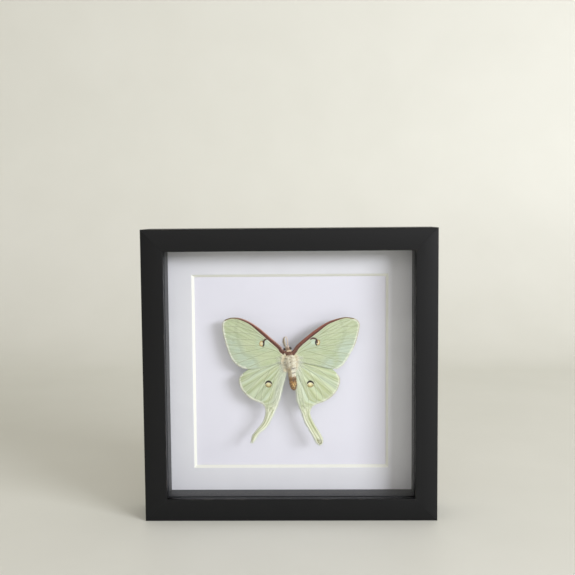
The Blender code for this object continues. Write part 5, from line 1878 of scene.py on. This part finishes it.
# %% Make the legs
LEG_PLACES = (-2.9, -6.1, -9.3)
LEG_PATH = ((1.7, 0.0, 4.3), (1.9, 0.2, 4.95), (3.6, 0.9, 5.6), (6.2, 0.9, 5.4), (6.7, 0.2, 5.8),
            (4.4, -0.7, 6.6), (2.4, -0.9, 7.2), (1.4, -1.0, 7.5))
LEG_RADII = ((0, 0.3), (0.08, 0.42), (0.28, 0.4), (0.46, 0.26), (0.5, 0.3), (0.56, 0.24), (0.72, 0.2),
             (1, 0.13))
LEG_STEP, LEG_SIDES = 0.3, 12
FOOT_START, FOOT_JOINTS, FOOT_SWELL = 0.72, 5, 0.25
LEG_COAT = dict(spacing=0.3, length=0.8, width=0.24, lift=0.22, stray=0.15, vary=0.3)
LEG_SEED = 30


def leg_tube(side, place):
    """A leg from its hip to its last joint, as a tube whose radius follows the table."""
    path = [(side * out, behind, place + up) for out, up, behind in LEG_PATH]
    line = curve_through(path, LEG_STEP)
    share = np.linspace(0, 1, len(line))
    radii = np.interp(share, *np.transpose(LEG_RADII))
    foot = np.clip((share - FOOT_START) / (1 - FOOT_START), 0, 1)
    radii *= 1 + FOOT_SWELL * np.abs(np.cos(math.pi * FOOT_JOINTS * foot)) * (foot > 0)
    mesh = tube("leg", body_places(line), radii * MM, LEG_SIDES)
    keep(mesh, "size", np.repeat(1 - 0.55 * share, LEG_SIDES))
    return mesh


legs_fur = hair_finish("leg_fur", colour(172, 120, 104), colour(104, 56, 50))
for side, word in SIDE_WORDS.items():
    for pair, place in enumerate(LEG_PLACES, 1):
        name = f"leg_{word}_{pair}"
        leg = add_object(f"jointed_{name}", leg_tube(side, place), legs_fur)
        ready(leg, "maroon_fur", name)
        seed = LEG_SEED + pair
        coat = plant(f"coat_{name}", leg.data, short_locks, legs_fur, **LEG_COAT, seed=seed)
        ready(coat, "maroon_fur", name)

# %% [markdown]
# ## Pin, back panel and metal parts
#
# The pin is fine black steel. Behind the board a brown hardboard panel is held by bent steel tabs, and a
# saw-toothed plate hangs the frame. These solids are already the shape that they should be, so they keep
# it and only get their finishes: pressed fibres for the panel, and rolled steel with fine lines, wear and
# a few dull spots for the metal.

# %% Finish the pin and the back
TABS = 8


def steel(name, light, dark, rough):
    """Rolled steel: fine lines along its width, duller in spots."""
    material, tree, place = new_material(name)
    lines = tree.noise(tree.vector("MULTIPLY", place, (1, 1, 12)), 0.9, 3, 0.6)
    spots = tree.noise(place, 0.5, 4, 0.6).rising(0.55, 0.75)
    base = tree.mix(spots, tree.mix(lines, dark, light), dark)
    return finish(material, tree, base, rough + spots * 0.2 + lines * 0.08, lines, 0.01, Metallic=1.0)


def hardboard():
    material, tree, place = new_material("hardboard")
    fibres = tree.noise(place, 1.4, 5, 0.7)
    weave = tree.noise(tree.vector("MULTIPLY", place, (1, 1, 0.3)), 6, 2, 0.6)
    base = tree.mix(fibres, colour(112, 82, 56), colour(152, 118, 84))
    base = tree.mix(weave.rising(0.6, 0.75) * 0.5, base, colour(78, 56, 40))
    return finish(material, tree, base, 0.75 + weave * 0.15, fibres + weave, 0.06)


tab_steel = steel("tab_steel", colour(172, 172, 174), colour(130, 130, 134), 0.3)
plate_steel = steel("plate_steel", colour(196, 182, 142), colour(150, 134, 96), 0.28)
pin_steel = steel("pin_steel", colour(70, 66, 66), colour(40, 38, 38), 0.25)
dress("back_panel", hardboard())
dress("pin", pin_steel)
dress("hanger", plate_steel)
for number in range(1, TABS + 1):
    dress(f"tab_{number}", tab_steel)
for word in SIDE_WORDS.values():
    dress(f"hanger_nail_{word}", plate_steel)
print("back finished")

# %% [markdown]
# ## Light through the moth
#
# A luna moth's wings and fur are so thin that a good part of the light goes on through them, and their
# shadows on the board are pale. A translucent shader does that too, but it greys the marks and needs many
# samples. So the window is made of two lamps at one place, and the moth doesn't block the second one. Fur
# also hands light on from hair to hair, warmer each time, which solid locks can't do, so a weak warm lamp
# that lights nothing but the fur stands for that.

# %% Let one lamp's light pass the moth
THIN_SLOTS = ("green_wing", "cream_fur", "golden_fur", "maroon_fur", "feeler")
thin_pieces = bpy.data.collections.new("thin_pieces")
for piece, slot in pieces:
    if slot in THIN_SLOTS:
        thin_pieces.objects.link(piece)
for entry in thin_pieces.collection_objects:
    entry.light_linking.link_state = "EXCLUDE"
window_through.light_linking.blocker_collection = thin_pieces
furry_pieces = bpy.data.collections.new("furry_pieces")
for piece, slot in pieces:
    if piece.name.startswith(("body", "coat", "shoulder")):
        furry_pieces.objects.link(piece)
fur_light.light_linking.receiver_collection = furry_pieces
